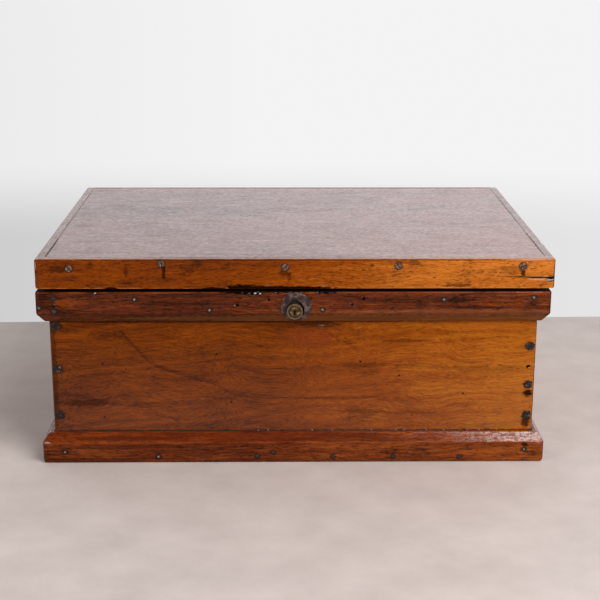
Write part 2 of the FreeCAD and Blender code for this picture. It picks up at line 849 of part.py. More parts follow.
def link_ends():
    """Left and right ends of the link plate."""
    left, right = lug_left_edges()
    return (left - link_margin, right + lug_thickness + link_margin)


def link_blank(bottom):
    """Link plate without its lugs from a height up, or the recess that it is let into."""
    return block(link_ends(), (bolt_middle - link_half_depth, bolt_middle + link_half_depth),
                 (bottom, link_top))


def link_screws():
    """Four screws up into the panel."""
    screw = wood_screw(small_screw_head, small_screw_shank, small_screw_taper, link_screw_length)
    left, right = link_ends()
    inset = small_screw_head + link_seat_gap
    along = link_half_depth - inset
    places = [Vector(x, bolt_middle + y, link_bottom)
              for x in (left + inset, right - inset) for y in (-along, along)]
    return driven(screw, places, upward)


def link_lugs():
    """Two lugs, each with a window for a finger of the bolt."""
    lugs = []
    for left in lug_left_edges():
        lug = block((left, left + lug_thickness), (bolt_middle - lug_depth / 2, bolt_middle + lug_depth / 2),
                    (lug_bottom, link_top))
        window = block((left - overrun, left + lug_thickness + overrun),
                       (bolt_middle - lug_window_width / 2, bolt_middle + lug_window_width / 2),
                       (window_bottom, window_bottom + window_height))
        lugs.append(lug.cut(window))
    return lugs


def link_plate():
    """Plate with a slot for each lug and holes for its screws."""
    return link_blank(link_bottom).cut(link_lugs() + link_screws())


# Whole chest

def carcase_nodes():
    """Boards, bands and their fasteners."""
    nodes = carcase_boards()
    nodes.update(band("collar", collar_profile, collar_thickness, collar_bottom, collar_top,
                      collar_corner_radius, 0))
    nodes.update(band("plinth", plinth_profile, plinth_thickness, 0, plinth_height,
                      plinth_corner_radius, plinth_end_foot_radius))
    fasteners = {
        "carcase_screws": carcase_screws(),
        "collar_nails": collar_nails(),
        "plinth_nails": plinth_nails(),
        "bottom_nails": bottom_nails(),
    }
    held = [solid for group in fasteners.values() for solid in group]
    nodes = {name: board.cut(held) for name, board in nodes.items()}
    nodes.update({name: Part.makeCompound(group) for name, group in fasteners.items()})
    return nodes


def lid_nodes():
    """Panel and rim with their screws."""
    screws = rim_screws()
    nodes = {name: board.cut(screws) for name, board in lid_boards().items()}
    nodes["lid_rim_screws"] = Part.makeCompound(screws)
    return nodes


def lock_nodes():
    """All pieces of the lock."""
    return {
        "escutcheon": escutcheon(),
        "lock_barrel": lock_barrel(),
        "lock_plug": lock_plug(),
        "lock_cam": lock_cam(),
        "lock_bolt": lock_bolt(),
        "lock_plate": lock_plate(),
        "lock_cover": lock_cover(),
        "lock_rivets": Part.makeCompound(lock_rivets()),
        "lock_screws": Part.makeCompound(lock_screws()),
        "link_plate": link_plate(),
        "link_lugs": Part.makeCompound(link_lugs()),
        "link_screws": Part.makeCompound(link_screws()),
    }


def let_in_ironwork(nodes, case_hinge_screws, lid_hinge_screws):
    """Cut the boards for the lock and the hinges."""
    opening = lock_opening(-collar_half_depth - overrun, wall_inner + overrun)
    nodes["front_board"] = nodes["front_board"].cut([opening, selvedge()] + lock_screws())
    nodes["collar_front"] = nodes["collar_front"].cut([opening] + escutcheon_spurs())
    nodes["lid_panel"] = nodes["lid_panel"].cut([link_blank(lip_top - overrun)] + link_screws())
    nodes["collar_back"] = nodes["collar_back"].cut(hinge_gains() + case_hinge_screws)
    nodes["lid_rim_back"] = nodes["lid_rim_back"].cut(hinge_gains() + lid_hinge_screws)


def build():
    """All nodes of the chest by name."""
    hinge_nodes, case_hinge_screws, lid_hinge_screws = hinges()
    nodes = carcase_nodes()
    nodes.update(lid_nodes())
    nodes.update(lock_nodes())
    nodes.update(hinge_nodes)
    nodes["hinge_case_screws"] = Part.makeCompound(case_hinge_screws)
    nodes["hinge_lid_screws"] = Part.makeCompound(lid_hinge_screws)
    let_in_ironwork(nodes, case_hinge_screws, lid_hinge_screws)
    return nodes


def write(nodes):
    """One file for each node."""
    os.makedirs("parts", exist_ok=True)
    for name, shape in nodes.items():
        solids = shape.Solids
        whole = solids[0] if len(solids) == 1 else Part.makeCompound(solids)
        whole.exportStep("parts/" + name + ".step")
        print(name, len(solids), round(shape.Volume))


write(build())
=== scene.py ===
"""Looks of a small mahogany chest with a dust-seal lid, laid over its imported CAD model.

Sizes in the classes are millimetres in the CAD frame: X to the right of someone facing the front, Y to the
back, Z up, the origin in the middle of the underside. Blender itself works in metres.
"""

from __future__ import annotations

import logging
import math
import random
from dataclasses import dataclass, field, replace
from enum import Enum

import bpy
from mathutils import Matrix, Vector, noise


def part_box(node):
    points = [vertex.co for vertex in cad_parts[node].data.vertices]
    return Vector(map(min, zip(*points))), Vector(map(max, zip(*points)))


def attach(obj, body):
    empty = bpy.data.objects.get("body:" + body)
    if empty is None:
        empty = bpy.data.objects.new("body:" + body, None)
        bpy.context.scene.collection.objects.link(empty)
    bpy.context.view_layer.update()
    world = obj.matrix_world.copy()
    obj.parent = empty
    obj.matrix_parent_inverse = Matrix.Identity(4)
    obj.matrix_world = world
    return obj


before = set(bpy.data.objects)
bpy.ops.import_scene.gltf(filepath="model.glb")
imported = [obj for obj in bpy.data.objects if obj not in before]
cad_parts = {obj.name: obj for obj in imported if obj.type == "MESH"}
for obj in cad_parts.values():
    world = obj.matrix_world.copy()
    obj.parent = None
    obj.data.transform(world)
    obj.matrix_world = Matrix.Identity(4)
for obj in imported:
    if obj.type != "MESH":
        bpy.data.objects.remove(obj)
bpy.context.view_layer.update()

MM = 0.001
# Front faces of the carcase and of the collar.
CARCASE_FRONT = -185.0
COLLAR_FRONT = -196.5
log = logging.getLogger("chest")


class Axis(Enum):
    """Direction that the fibres of a board run in."""

    X = 0
    Y = 1


class Face(Enum):
    """Side of a board that its marks lie on, as the two directions in it."""

    FRONT = (0, 2)
    TOP = (0, 1)


class Body(Enum):
    """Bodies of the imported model."""

    CASE = "case"
    LID = "lid"
    PLUG = "plug"


class Slot(Enum):
    """Names of material slots."""

    BAND_WOOD = "band_wood"
    CARCASE_WOOD = "carcase_wood"
    AGED_BRASS = "aged_brass"
    DARK_IRON = "dark_iron"


def linear(code: str) -> tuple[float, float, float, float]:
    """Turns an sRGB hex colour into linear light.

    Args:
        code: colour as #RRGGBB.

    Returns:
        Linear red, green, blue and an opaque alpha.
    """
    channels = [int(code[start:start + 2], 16) / 255 for start in (1, 3, 5)]
    light = [c / 12.92 if c <= 0.04045 else ((c + 0.055) / 1.055) ** 2.4 for c in channels]
    return (light[0], light[1], light[2], 1.0)


class Graph:
    """Node tree of one material or of the world, filled one node at a time."""

    def __init__(self, owner: bpy.types.Material | bpy.types.World) -> None:
        """Empties the owner's tree.

        Args:
            owner: material or world whose nodes are drawn up.
        """
        owner.use_nodes = True
        self.tree = owner.node_tree
        self.tree.nodes.clear()

    def add(self, kind: str, inputs: dict | None = None, out: int | str = 0,
            **settings: object) -> bpy.types.NodeSocket | None:
        """Adds a node with its settings, constants and links.

        Args:
            kind: node type without its ShaderNode prefix.
            inputs: constant or linked socket for each input, by name or number.
            out: output wanted from the node.
            **settings: properties of the node; stops fill a colour ramp, points a float curve.

        Returns:
            The wanted output socket, or None for a node that has none.
        """
        node = self.tree.nodes.new("ShaderNode" + kind)
        for name, value in settings.items():
            if name == "stops":
                ramp = node.color_ramp.elements
                while len(ramp) < len(value):
                    ramp.new(1.0)
                for element, (position, code) in zip(ramp, value):
                    element.position = position
                    element.color = linear(code)
            elif name == "points":
                line = node.mapping.curves[0]
                while len(line.points) < len(value):
                    line.points.new(1.0, 1.0)
                for point, place in zip(line.points, value):
                    point.location = place
                node.mapping.update()
            else:
                setattr(node, name, value)
        for key, value in (inputs or {}).items():
            if isinstance(value, bpy.types.NodeSocket):
                self.tree.links.new(value, node.inputs[key])
            else:
                node.inputs[key].default_value = value
        return node.outputs[out] if len(node.outputs) else None


@dataclass(frozen=True)
class Mark:
    """Patch of stain, bruise or bare wood on a board: its middle on the marked face, and its size."""

    across: float
    height: float
    width: float
    tall: float
    tone: str = "#0B0504"
    strength: float = 0.85


@dataclass(frozen=True)
class GrowthLine:
    """Dark growth line that can be followed by eye along a board."""

    places: tuple[tuple[float, float], ...]
    thickness: float = 3.2
    strength: float = 0.4


@dataclass(frozen=True)
class BareZone:
    """Space inside which a board was never polished, and the painted shade laid over it where one is given.
    """

    low: tuple[float, float, float]
    high: tuple[float, float, float]
    painted_shade: str = ""


@dataclass(frozen=True)
class Board:
    """One board: which CAD node it is, how it was cut and what has happened to it.

    heart is the middle of its growth rings, and lean how far they run off along it. The lift of the tone
    towards the right is partly bleaching by sunlight and partly painted light from the lamp on that side;
    rise lifts it with height and shade all over. film is where the dust on the front begins and where it is
    full.
    arrises are the heights of worn edges inside its outline.
    """

    node: str
    grain: Axis
    heart: tuple[float, float, float]
    lean: tuple[float, float, float] = (0.0, 0.0, 0.06)
    bleach_and_light: float = 0.0
    rise: float = 0.0
    shade: float = 0.0
    film: tuple[float, float] | None = None
    face: Face = Face.FRONT
    arrises: tuple[float, ...] = ()
    marks: tuple[Mark, ...] = ()
    lines: tuple[GrowthLine, ...] = ()
    bare: BareZone | None = None


@dataclass(frozen=True)
class Pattern:
    """Noise drawn out along the grain, by the real size of its marks in millimetres."""

    along: float
    across: float
    detail: float
    salt: float

    def scaled(self, length: float, width: float) -> Pattern:
        """Same pattern with its marks drawn longer and wider."""
        return replace(self, along=self.along * length, across=self.across * width)


# Fibres are 0.1 mm wide, finer than the render shows, so they are drawn a millimetre wide or more.
FIBRE = Pattern(22.0, 1.0, 2.0, 2.0)
STREAK = Pattern(110.0, 4.5, 4.0, 3.0)
CLOUD = Pattern(150.0, 55.0, 3.0, 4.0)
# Growth rings wander from their circles over this length and width.
RING_WANDER = Pattern(170.0, 42.0, 2.0, 1.0)
# Pores are 0.2 mm by a few millimetres, so they too are drawn wider.
PORE = Pattern(7.0, 0.9, 1.0, 5.0)
# Dirt lies in patches, and old knocks and spots of darkened polish come in clusters.
PATCH = Pattern(38.0, 16.0, 4.0, 6.0)
SPOT = Pattern(5.5, 2.4, 3.0, 9.0)
# Wear along an arris is broken up, and so are the outlines of stains and growth lines.
BROKEN_WEAR = Pattern(14.0, 9.0, 3.0, 7.0)
MARK_OUTLINE = Pattern(6.0, 2.2, 3.0, 8.0)
LINE_OUTLINE = Pattern(9.0, 2.6, 2.0, 12.0)
# Rubbing with a cloth has left the gloss in small patches.
GLOSS = Pattern(5.0, 2.2, 2.0, 11.0)
DENT = Pattern(13.0, 4.0, 2.0, 10.0)
# Length over which the fibres of a board swing from side to side.
BEND_LENGTH = 85.0


@dataclass(frozen=True)
class ShellackedMahogany:
    """Planed mahogany under old shellac: red-brown ribbon, short dark pores and a soft, worn gloss."""

    name: str
    deep: str
    body: str
    bright: str
    pore: str = "#1A0904"
    grime: str = "#160A06"
    worn: str = "#B9783F"
    raw: str = "#8A5A3A"
    raw_deep: str = "#5A3520"
    raw_bright: str = "#A87A50"
    film: str = "#8A7E84"
    upward: str = ""
    upward_from: tuple[float, float] = (0.86, 0.97)
    upward_coat: float = 1.0
    dust: float = 0.75
    amber: str = "#C47A42"
    band: float = 7.0
    width: float = 1.0
    length: float = 1.0
    cloud: float = 0.45
    figure: float = 0.3
    streak: float = 0.3
    fibre: float = 0.5
    pores: float = 0.6
    fleck: float = 0.5
    dirt: float = 0.5
    wear: float = 0.45
    wear_width: float = 1.4
    roughness: float = 0.42
    specular: float = 0.3
    coat: float = 0.08
    coat_roughness: float = 0.2
    mottle: float = 0.3
    bend: float = 36.0
    relief: float = 0.12
    lumps: float = 0.0

    def material(self, board: Board) -> bpy.types.Material:
        """Draws up the material of one board.

        Args:
            board: board that wears the finish.

        Returns:
            The finished material.
        """
        made = bpy.data.materials.new(f"{self.name}.{board.node}")
        BoardGraph(made, self, board).draw()
        return made


class BoardGraph(Graph):
    """Material of one board while it is drawn up: first its patterns, then its colour, then its polish."""

    def __init__(self, owner: bpy.types.Material, wood: ShellackedMahogany, board: Board) -> None:
        """Empties the tree and draws the patterns that several steps share.

        Args:
            owner: material that is drawn up.
            wood: finish of the board.
            board: board that wears it.
        """
        super().__init__(owner)
        self.wood = wood
        self.board = board
        self.place = self.add("TexCoord", out="Object")
        self.height = self.add("SeparateXYZ", {0: self.place}, out=2)
        self.course = self.bent_course()
        self.fibre = self.pattern(FIBRE.scaled(wood.length, wood.width))
        self.cloud = self.pattern(CLOUD)
        self.patch = self.pattern(PATCH)
        pore = self.pattern(PORE.scaled(wood.length, wood.width))
        self.open_pore = self.add("MapRange", {"Value": pore, "From Min": 0.56, "From Max": 0.72,
                                               "To Max": wood.pores}, interpolation_type="SMOOTHSTEP")

    def bent_course(self) -> bpy.types.NodeSocket:
        """Place on the board, bent sideways as its fibres are.

        Returns:
            Bent place in metres.
        """
        over = Vector((1.0, 1.0, 1.0))
        over[self.board.grain.value] = 0.0
        wide = self.add("TexNoise", {"Vector": self.place, "Scale": 1 / (BEND_LENGTH * MM), "Detail": 1.0},
                        out="Color")
        bend = over * self.wood.bend * MM
        moved = self.add("VectorMath", {0: wide, 1: bend, 2: bend * -0.5}, operation="MULTIPLY_ADD")
        return self.add("VectorMath", {0: self.place, 1: moved}, operation="ADD")

    def pattern(self, pattern: Pattern) -> bpy.types.NodeSocket:
        """Noise drawn out along the grain of the board.

        Args:
            pattern: sizes of its marks.

        Returns:
            Noise from 0 to 1 about a half.
        """
        scale = [1 / (pattern.across * MM)] * 3
        scale[self.board.grain.value] = 1 / (pattern.along * MM)
        _, near, up = self.board.heart
        shift = [pattern.salt * 3.7 + near * 0.13, pattern.salt * 1.9 + up * 0.07, pattern.salt * 5.3]
        place = self.add("VectorMath", {0: self.course, 1: scale, 2: shift}, operation="MULTIPLY_ADD")
        return self.add("TexNoise", {"Vector": place, "Scale": 1.0, "Detail": pattern.detail,
                                     "Roughness": 0.6})

    def rings(self) -> bpy.types.NodeSocket:
        """Growth rings round a leaning heart, as a saw cuts them.

        Returns:
            Uneven bands from 0 to 1.
        """
        board, band = self.board, self.wood.band
        keep = [1.0, 1.0, 1.0]
        keep[board.grain.value] = 0.0
        away = self.add("VectorMath", {0: self.place, 1: [c * MM for c in board.heart]}, operation="SUBTRACT")
        flat = self.add("VectorMath", {0: away, 1: keep}, operation="MULTIPLY")
        along = self.add("SeparateXYZ", {0: self.place}, out=board.grain.value)
        lean = self.add("VectorMath", {0: board.lean, "Scale": along}, operation="SCALE")
        leaning = self.add("VectorMath", {0: flat, 1: lean}, operation="SUBTRACT")
        radius = self.add("VectorMath", {0: leaning}, out="Value", operation="LENGTH")
        bands = self.add("Math", {0: radius, 1: 1 / (band * MM), 2: board.heart[0] * 0.01},
                         operation="MULTIPLY_ADD")
        phase = self.add("Math", {0: self.pattern(RING_WANDER), 1: 26.0 / band, 2: bands},
                         operation="MULTIPLY_ADD")
        return self.add("TexNoise", {"W": phase, "Scale": 1.0, "Detail": 2.5, "Roughness": 0.55},
                        noise_dimensions="1D")

    def tone(self) -> bpy.types.NodeSocket:
        """Lightness of the wood, lighter to the right by bleaching and by painted light, darkest at the foot.

        Returns:
            Tone about a half.
        """
        wood, board = self.wood, self.board
        x = self.add("SeparateXYZ", {0: self.place}, out=0)
        # Painted light from the lamp on the right, partly bleaching: the tone rises towards the right.
        bleached_and_lit = self.add("MapRange", {"Value": x, "From Min": -0.1, "From Max": 0.27, "To Max": board.bleach_and_light})
        tone = self.add("Math", {0: self.height, 1: board.rise, 2: bleached_and_lit}, operation="MULTIPLY_ADD")
        streak = self.pattern(STREAK.scaled(wood.length, wood.width))
        weighted = ((self.fibre, wood.fibre), (streak, wood.streak), (self.cloud, wood.cloud),
                    (self.rings(), wood.figure))
        middle = 0.5 + board.shade - sum(weight for _, weight in weighted) / 2
        tone = self.add("Math", {0: tone, 1: middle}, operation="ADD")
        for part, weight in weighted:
            tone = self.add("Math", {0: part, 1: weight, 2: tone}, operation="MULTIPLY_ADD")
        return tone

    def lined(self, tone: bpy.types.NodeSocket) -> bpy.types.NodeSocket:
        """Draws the board's growth lines into its tone.

        Args:
            tone: tone so far.

        Returns:
            Tone, darker along the lines.
        """
        ragged = self.pattern(LINE_OUTLINE)
        for line in self.board.lines:
            (start, _), (end, _) = line.places[0], line.places[-1]
            heights = [z for _, z in line.places]
            low, high = min(heights), max(heights)
            x, z = (self.add("SeparateXYZ", {0: self.place}, out=axis) for axis in self.board.face.value)
            run = self.add("MapRange", {"Value": x, "From Min": start * MM, "From Max": end * MM})
            points = [((a - start) / (end - start), (b - low) / (high - low)) for a, b in line.places]
            curve = self.add("FloatCurve", {"Value": run}, points=points)
            course = self.add("MapRange", {"Value": curve, "To Min": low * MM, "To Max": high * MM})
            straight = self.add("Math", {0: z, 1: course}, operation="SUBTRACT")
            width = line.thickness * MM
            off = self.add("Math", {0: ragged, 1: 2.6 * width, 2: straight}, operation="MULTIPLY_ADD")
            # The line is sharp on its lower side and fades out above.
            under = self.add("MapRange", {"Value": off, "From Min": 0.6 * width, "From Max": 1.3 * width},
                             interpolation_type="SMOOTHSTEP")
            above = self.add("MapRange", {"Value": off, "From Min": 3.4 * width, "From Max": 1.3 * width},
                             interpolation_type="SMOOTHSTEP")
            ends = self.add("MapRange", {"Value": run, "From Min": 0.0, "From Max": 0.08},
                            interpolation_type="SMOOTHSTEP")
            tail = self.add("MapRange", {"Value": run, "From Min": 1.0, "From Max": 0.8},
                            interpolation_type="SMOOTHSTEP")
            shown = self.add("Math", {0: under, 1: above}, operation="MULTIPLY")
            kept = self.add("Math", {0: ends, 1: tail}, operation="MULTIPLY")
            both = self.add("Math", {0: shown, 1: kept}, operation="MULTIPLY")
            tone = self.add("Math", {0: both, 1: -line.strength, 2: tone}, operation="MULTIPLY_ADD")
        return tone

    def under_polish(self, tone: bpy.types.NodeSocket) -> bpy.types.NodeSocket:
        """Colour seen through the polish, with pores, knocks and dirt.

        Args:
            tone: lightness of the wood.

        Returns:
            Colour of the polished wood.
        """
        wood = self.wood
        colour = self.add("ValToRGB", {0: self.lined(tone)},
                          stops=((0.1, wood.deep), (0.45, wood.body), (0.9, wood.bright)))
        colour = self.add("Mix", {0: self.open_pore, 6: colour, 7: linear(wood.pore)}, out=2,
                          data_type="RGBA")
        clustered = self.add("Math", {0: self.patch, 1: 0.55, 2: self.pattern(SPOT)},
                             operation="MULTIPLY_ADD")
        flecked = self.add("MapRange", {"Value": clustered, "From Min": 0.84, "From Max": 1.0,
                                        "To Max": wood.fleck}, interpolation_type="SMOOTHSTEP")
        colour = self.add("Mix", {0: flecked, 6: colour, 7: linear(wood.grime)}, out=2, data_type="RGBA")
        soiled = self.add("MapRange", {"Value": self.patch, "From Min": 0.54, "From Max": 0.82,
                                       "To Max": wood.dirt}, interpolation_type="SMOOTHSTEP")
        return self.add("Mix", {0: soiled, 6: colour, 7: linear(wood.grime)}, out=2, data_type="RGBA")

    def edge_distance(self) -> bpy.types.NodeSocket:
        """Distance to the board's nearest arris: the middle one of its three distances to a face.

        Returns:
            Distance in metres.
        """
        low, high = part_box(self.board.node)
        middle, half = (low + high) / 2, (high - low) / 2
        away = self.add("VectorMath", {0: self.place, 1: middle}, operation="SUBTRACT")
        size = self.add("VectorMath", {0: away}, operation="ABSOLUTE")
        left = self.add("VectorMath", {0: half, 1: size}, operation="SUBTRACT")
        a, b, c = (self.add("SeparateXYZ", {0: left}, out=axis) for axis in range(3))
        small = self.add("Math", {0: a, 1: b}, operation="MINIMUM")
        large = self.add("Math", {0: a, 1: b}, operation="MAXIMUM")
        other = self.add("Math", {0: large, 1: c}, operation="MINIMUM")
        return self.add("Math", {0: small, 1: other}, operation="MAXIMUM")

    def rubbed(self, colour: bpy.types.NodeSocket) -> bpy.types.NodeSocket:
        """Wears the polish off along the arrises, here and there.

        Args:
            colour: colour so far.

        Returns:
            Colour, paler where the arrises are rubbed.
        """
        wide = self.wood.wear_width * MM
        rub = self.add("MapRange", {"Value": self.edge_distance(), "From Min": wide, "From Max": 0.0},
                       interpolation_type="SMOOTHSTEP")
        for arris in self.board.arrises:
            off = self.add("Math", {0: self.height, 1: arris * MM}, operation="SUBTRACT")
            gap = self.add("Math", {0: off}, operation="ABSOLUTE")
            near = self.add("MapRange", {"Value": gap, "From Min": wide, "From Max": 0.0},
                            interpolation_type="SMOOTHSTEP")
            rub = self.add("Math", {0: rub, 1: near}, operation="MAXIMUM")
        chance = self.add("MapRange", {"Value": self.pattern(BROKEN_WEAR), "From Min": 0.36, "From Max": 0.62,
                                       "To Max": self.wood.wear})
        worn = self.add("Math", {0: rub, 1: chance}, operation="MULTIPLY")
        return self.add("Mix", {0: worn, 6: colour, 7: linear(self.wood.worn)}, out=2, data_type="RGBA")

    def facing_up(self) -> bpy.types.NodeSocket | float:
        """How far a surface looks up, from 0 to 1, on a finish that dust has dulled there.

        Returns:
            Share of the upward look.
        """
        if not self.wood.upward:
            return 0.0
        upright = self.add("SeparateXYZ", {0: self.add("TexCoord", out="Normal")}, out=2)
        start, end = self.wood.upward_from
        return self.add("MapRange", {"Value": upright, "From Min": start, "From Max": end},
                        interpolation_type="SMOOTHSTEP")

    def dusted(self, colour: bpy.types.NodeSocket,
               facing: bpy.types.NodeSocket | float) -> bpy.types.NodeSocket:
        """Dulls what looks up, and lays a thin film of dust over the lower part of the front.

        Args:
            colour: colour so far.
            facing: share of the upward look.

        Returns:
            Colour under the dust.
        """
        wood = self.wood
        if wood.upward:
            dulled = self.add("Mix", {0: wood.dust, 6: colour, 7: linear(wood.upward)}, out=2,
                              data_type="RGBA")
            colour = self.add("Mix", {0: facing, 6: colour, 7: dulled}, out=2, data_type="RGBA")
        if self.board.film is not None:
            clear, dusty = self.board.film
            film = self.add("MapRange", {"Value": self.height, "From Min": clear * MM, "From Max": dusty * MM,
                                         "To Max": 0.055})
            colour = self.add("Mix", {0: film, 6: colour, 7: linear(wood.film)}, out=2, data_type="RGBA")
        return colour

    def marked(self, colour: bpy.types.NodeSocket
               ) -> tuple[bpy.types.NodeSocket, bpy.types.NodeSocket | float]:
        """Lays the board's stains and bruises over its colour.

        Args:
            colour: colour so far.

        Returns:
            Colour with the marks, and where they lie.
        """
        ragged = self.pattern(MARK_OUTLINE)
        first, second = self.board.face.value
        cover: bpy.types.NodeSocket | float = 0.0
        for mark in self.board.marks:
            middle, share = [0.0, 0.0, 0.0], [0.0, 0.0, 0.0]
            middle[first], middle[second] = mark.across * MM, mark.height * MM
            share[first], share[second] = 2 / (mark.width * MM), 2 / (mark.tall * MM)
            away = self.add("VectorMath", {0: self.place, 1: middle}, operation="SUBTRACT")
            scaled = self.add("VectorMath", {0: away, 1: share}, operation="MULTIPLY")
            size = self.add("VectorMath", {0: scaled}, out="Value", operation="LENGTH")
            rough = self.add("Math", {0: ragged, 1: -1.7, 2: size}, operation="MULTIPLY_ADD")
            mask = self.add("MapRange", {"Value": rough, "From Min": 0.32, "From Max": -0.26,
                                         "To Max": mark.strength}, interpolation_type="SMOOTHSTEP")
            colour = self.add("Mix", {0: mask, 6: colour, 7: linear(mark.tone)}, out=2, data_type="RGBA")
            cover = self.add("Math", {0: cover, 1: mask}, operation="MAXIMUM")
        return colour, cover

    def bare_mask(self) -> bpy.types.NodeSocket | float:
        """Where the board was never polished.

        Returns:
            1 inside the bare zone and 0 elsewhere.
        """
        bare = self.board.bare
        if bare is None:
            return 0.0
        low, high = Vector(bare.low) * MM, Vector(bare.high) * MM
        away = self.add("VectorMath", {0: self.place, 1: (low + high) / 2}, operation="SUBTRACT")
        share = self.add("VectorMath", {0: away, 1: (high - low) / 2}, operation="DIVIDE")
        size = self.add("VectorMath", {0: share}, operation="ABSOLUTE")
        a, b, c = (self.add("SeparateXYZ", {0: size}, out=axis) for axis in range(3))
        wider = self.add("Math", {0: a, 1: b}, operation="MAXIMUM")
        most = self.add("Math", {0: wider, 1: c}, operation="MAXIMUM")
        return self.add("Math", {0: most, 1: 1.0}, operation="LESS_THAN")

    def raw_colour(self, tone: bpy.types.NodeSocket) -> bpy.types.NodeSocket:
        """Colour of the wood that was never polished, darkened with painted shade where the zone gives one.

        Args:
            tone: lightness of the wood.

        Returns:
            Colour of the raw wood.
        """
        wood, bare = self.wood, self.board.bare
        raw = self.add("ValToRGB", {0: tone},
                       stops=((0.1, wood.raw_deep), (0.5, wood.raw), (0.9, wood.raw_bright)))
        # Painted shade: the zone's near-black tone is laid over the raw wood.
        if bare is not None and bare.painted_shade:
            raw = self.add("Mix", {0: 0.9, 6: raw, 7: linear(bare.painted_shade)}, out=2, data_type="RGBA")
        return raw

    def coat(self, tone: bpy.types.NodeSocket, facing: bpy.types.NodeSocket | float,
             bare: bpy.types.NodeSocket | float, cover: bpy.types.NodeSocket | float) -> bpy.types.NodeSocket:
        """How much of the polish still shines.

        Args:
            tone: lightness of the wood.
            facing: share of the upward look.
            bare: 1 where there is no polish.
            cover: where stains lie over it.

        Returns:
            Weight of the coat.
        """
        wood = self.wood
        full = self.add("Math", {0: facing, 1: wood.upward_coat - wood.coat, 2: wood.coat},
                        operation="MULTIPLY_ADD")
        # The polish has sunk into open pores and dark growth lines, so they take the shine off it.
        sunk = self.add("Math", {0: self.open_pore, 1: -0.45, 2: 1.0}, operation="MULTIPLY_ADD")
        settled = self.add("MapRange", {"Value": tone, "From Min": 0.1, "From Max": 0.6, "To Min": 0.62})
        kept = self.add("Math", {0: sunk, 1: settled}, operation="MULTIPLY")
        patchy = self.add("MapRange", {"Value": self.pattern(GLOSS), "From Min": 0.42, "From Max": 0.6,
                                       "To Min": 1.0 - wood.mottle, "To Max": 1.0 + wood.mottle})
        kept = self.add("Math", {0: kept, 1: patchy}, operation="MULTIPLY")
        polished = self.add("Math", {0: full, 1: kept}, operation="MULTIPLY")
        covered = self.add("Math", {0: 1.0, 1: bare}, operation="SUBTRACT")
        clean = self.add("Math", {0: cover, 1: -0.85, 2: 1.0}, operation="MULTIPLY_ADD")
        open_to_light = self.add("Math", {0: covered, 1: clean}, operation="MULTIPLY")
        return self.add("Math", {0: polished, 1: open_to_light}, operation="MULTIPLY")

    def relief(self) -> bpy.types.NodeSocket:
        """Bump of fibres, open pores, dents and the slow swell of the planed face.

        Returns:
            Bent normal.
        """
        grooves = self.add("Math", {0: self.open_pore, 1: -0.8, 2: self.fibre}, operation="MULTIPLY_ADD")
        uneven = self.add("Math", {0: self.pattern(DENT), 1: self.wood.lumps, 2: grooves},
                          operation="MULTIPLY_ADD")
        swell = self.add("Math", {0: self.cloud, 1: 2.2, 2: uneven}, operation="MULTIPLY_ADD")
        return self.add("Bump", {"Strength": 0.7, "Distance": self.wood.relief * MM, "Height": swell})

    def draw(self) -> None:
        """Joins colour, roughness, coat and relief in the shader."""
        wood = self.wood
        tone = self.tone()
        facing = self.facing_up()
        bare = self.bare_mask()
        colour, cover = self.marked(self.dusted(self.rubbed(self.under_polish(tone)), facing))
        colour = self.add("Mix", {0: bare, 6: colour, 7: self.raw_colour(tone)}, out=2, data_type="RGBA")
        rough = self.add("MapRange", {"Value": self.patch, "From Min": 0.3, "From Max": 0.75,
                                      "To Min": wood.roughness - 0.08, "To Max": wood.roughness + 0.14})
        rough = self.add("Math", {0: bare, 1: 0.3, 2: rough}, operation="MULTIPLY_ADD")
        rough = self.add("Math", {0: cover, 1: 0.25, 2: rough}, operation="MULTIPLY_ADD")
        shader = self.add("BsdfPrincipled", {
            "Base Color": colour, "Roughness": rough, "IOR": 1.5, "Specular IOR Level": wood.specular,
            "Specular Tint": linear(wood.amber), "Coat Weight": self.coat(tone, facing, bare, cover),
            "Coat Roughness": wood.coat_roughness, "Coat IOR": 1.52, "Normal": self.relief(),
        })
        self.add("OutputMaterial", {"Surface": shader})


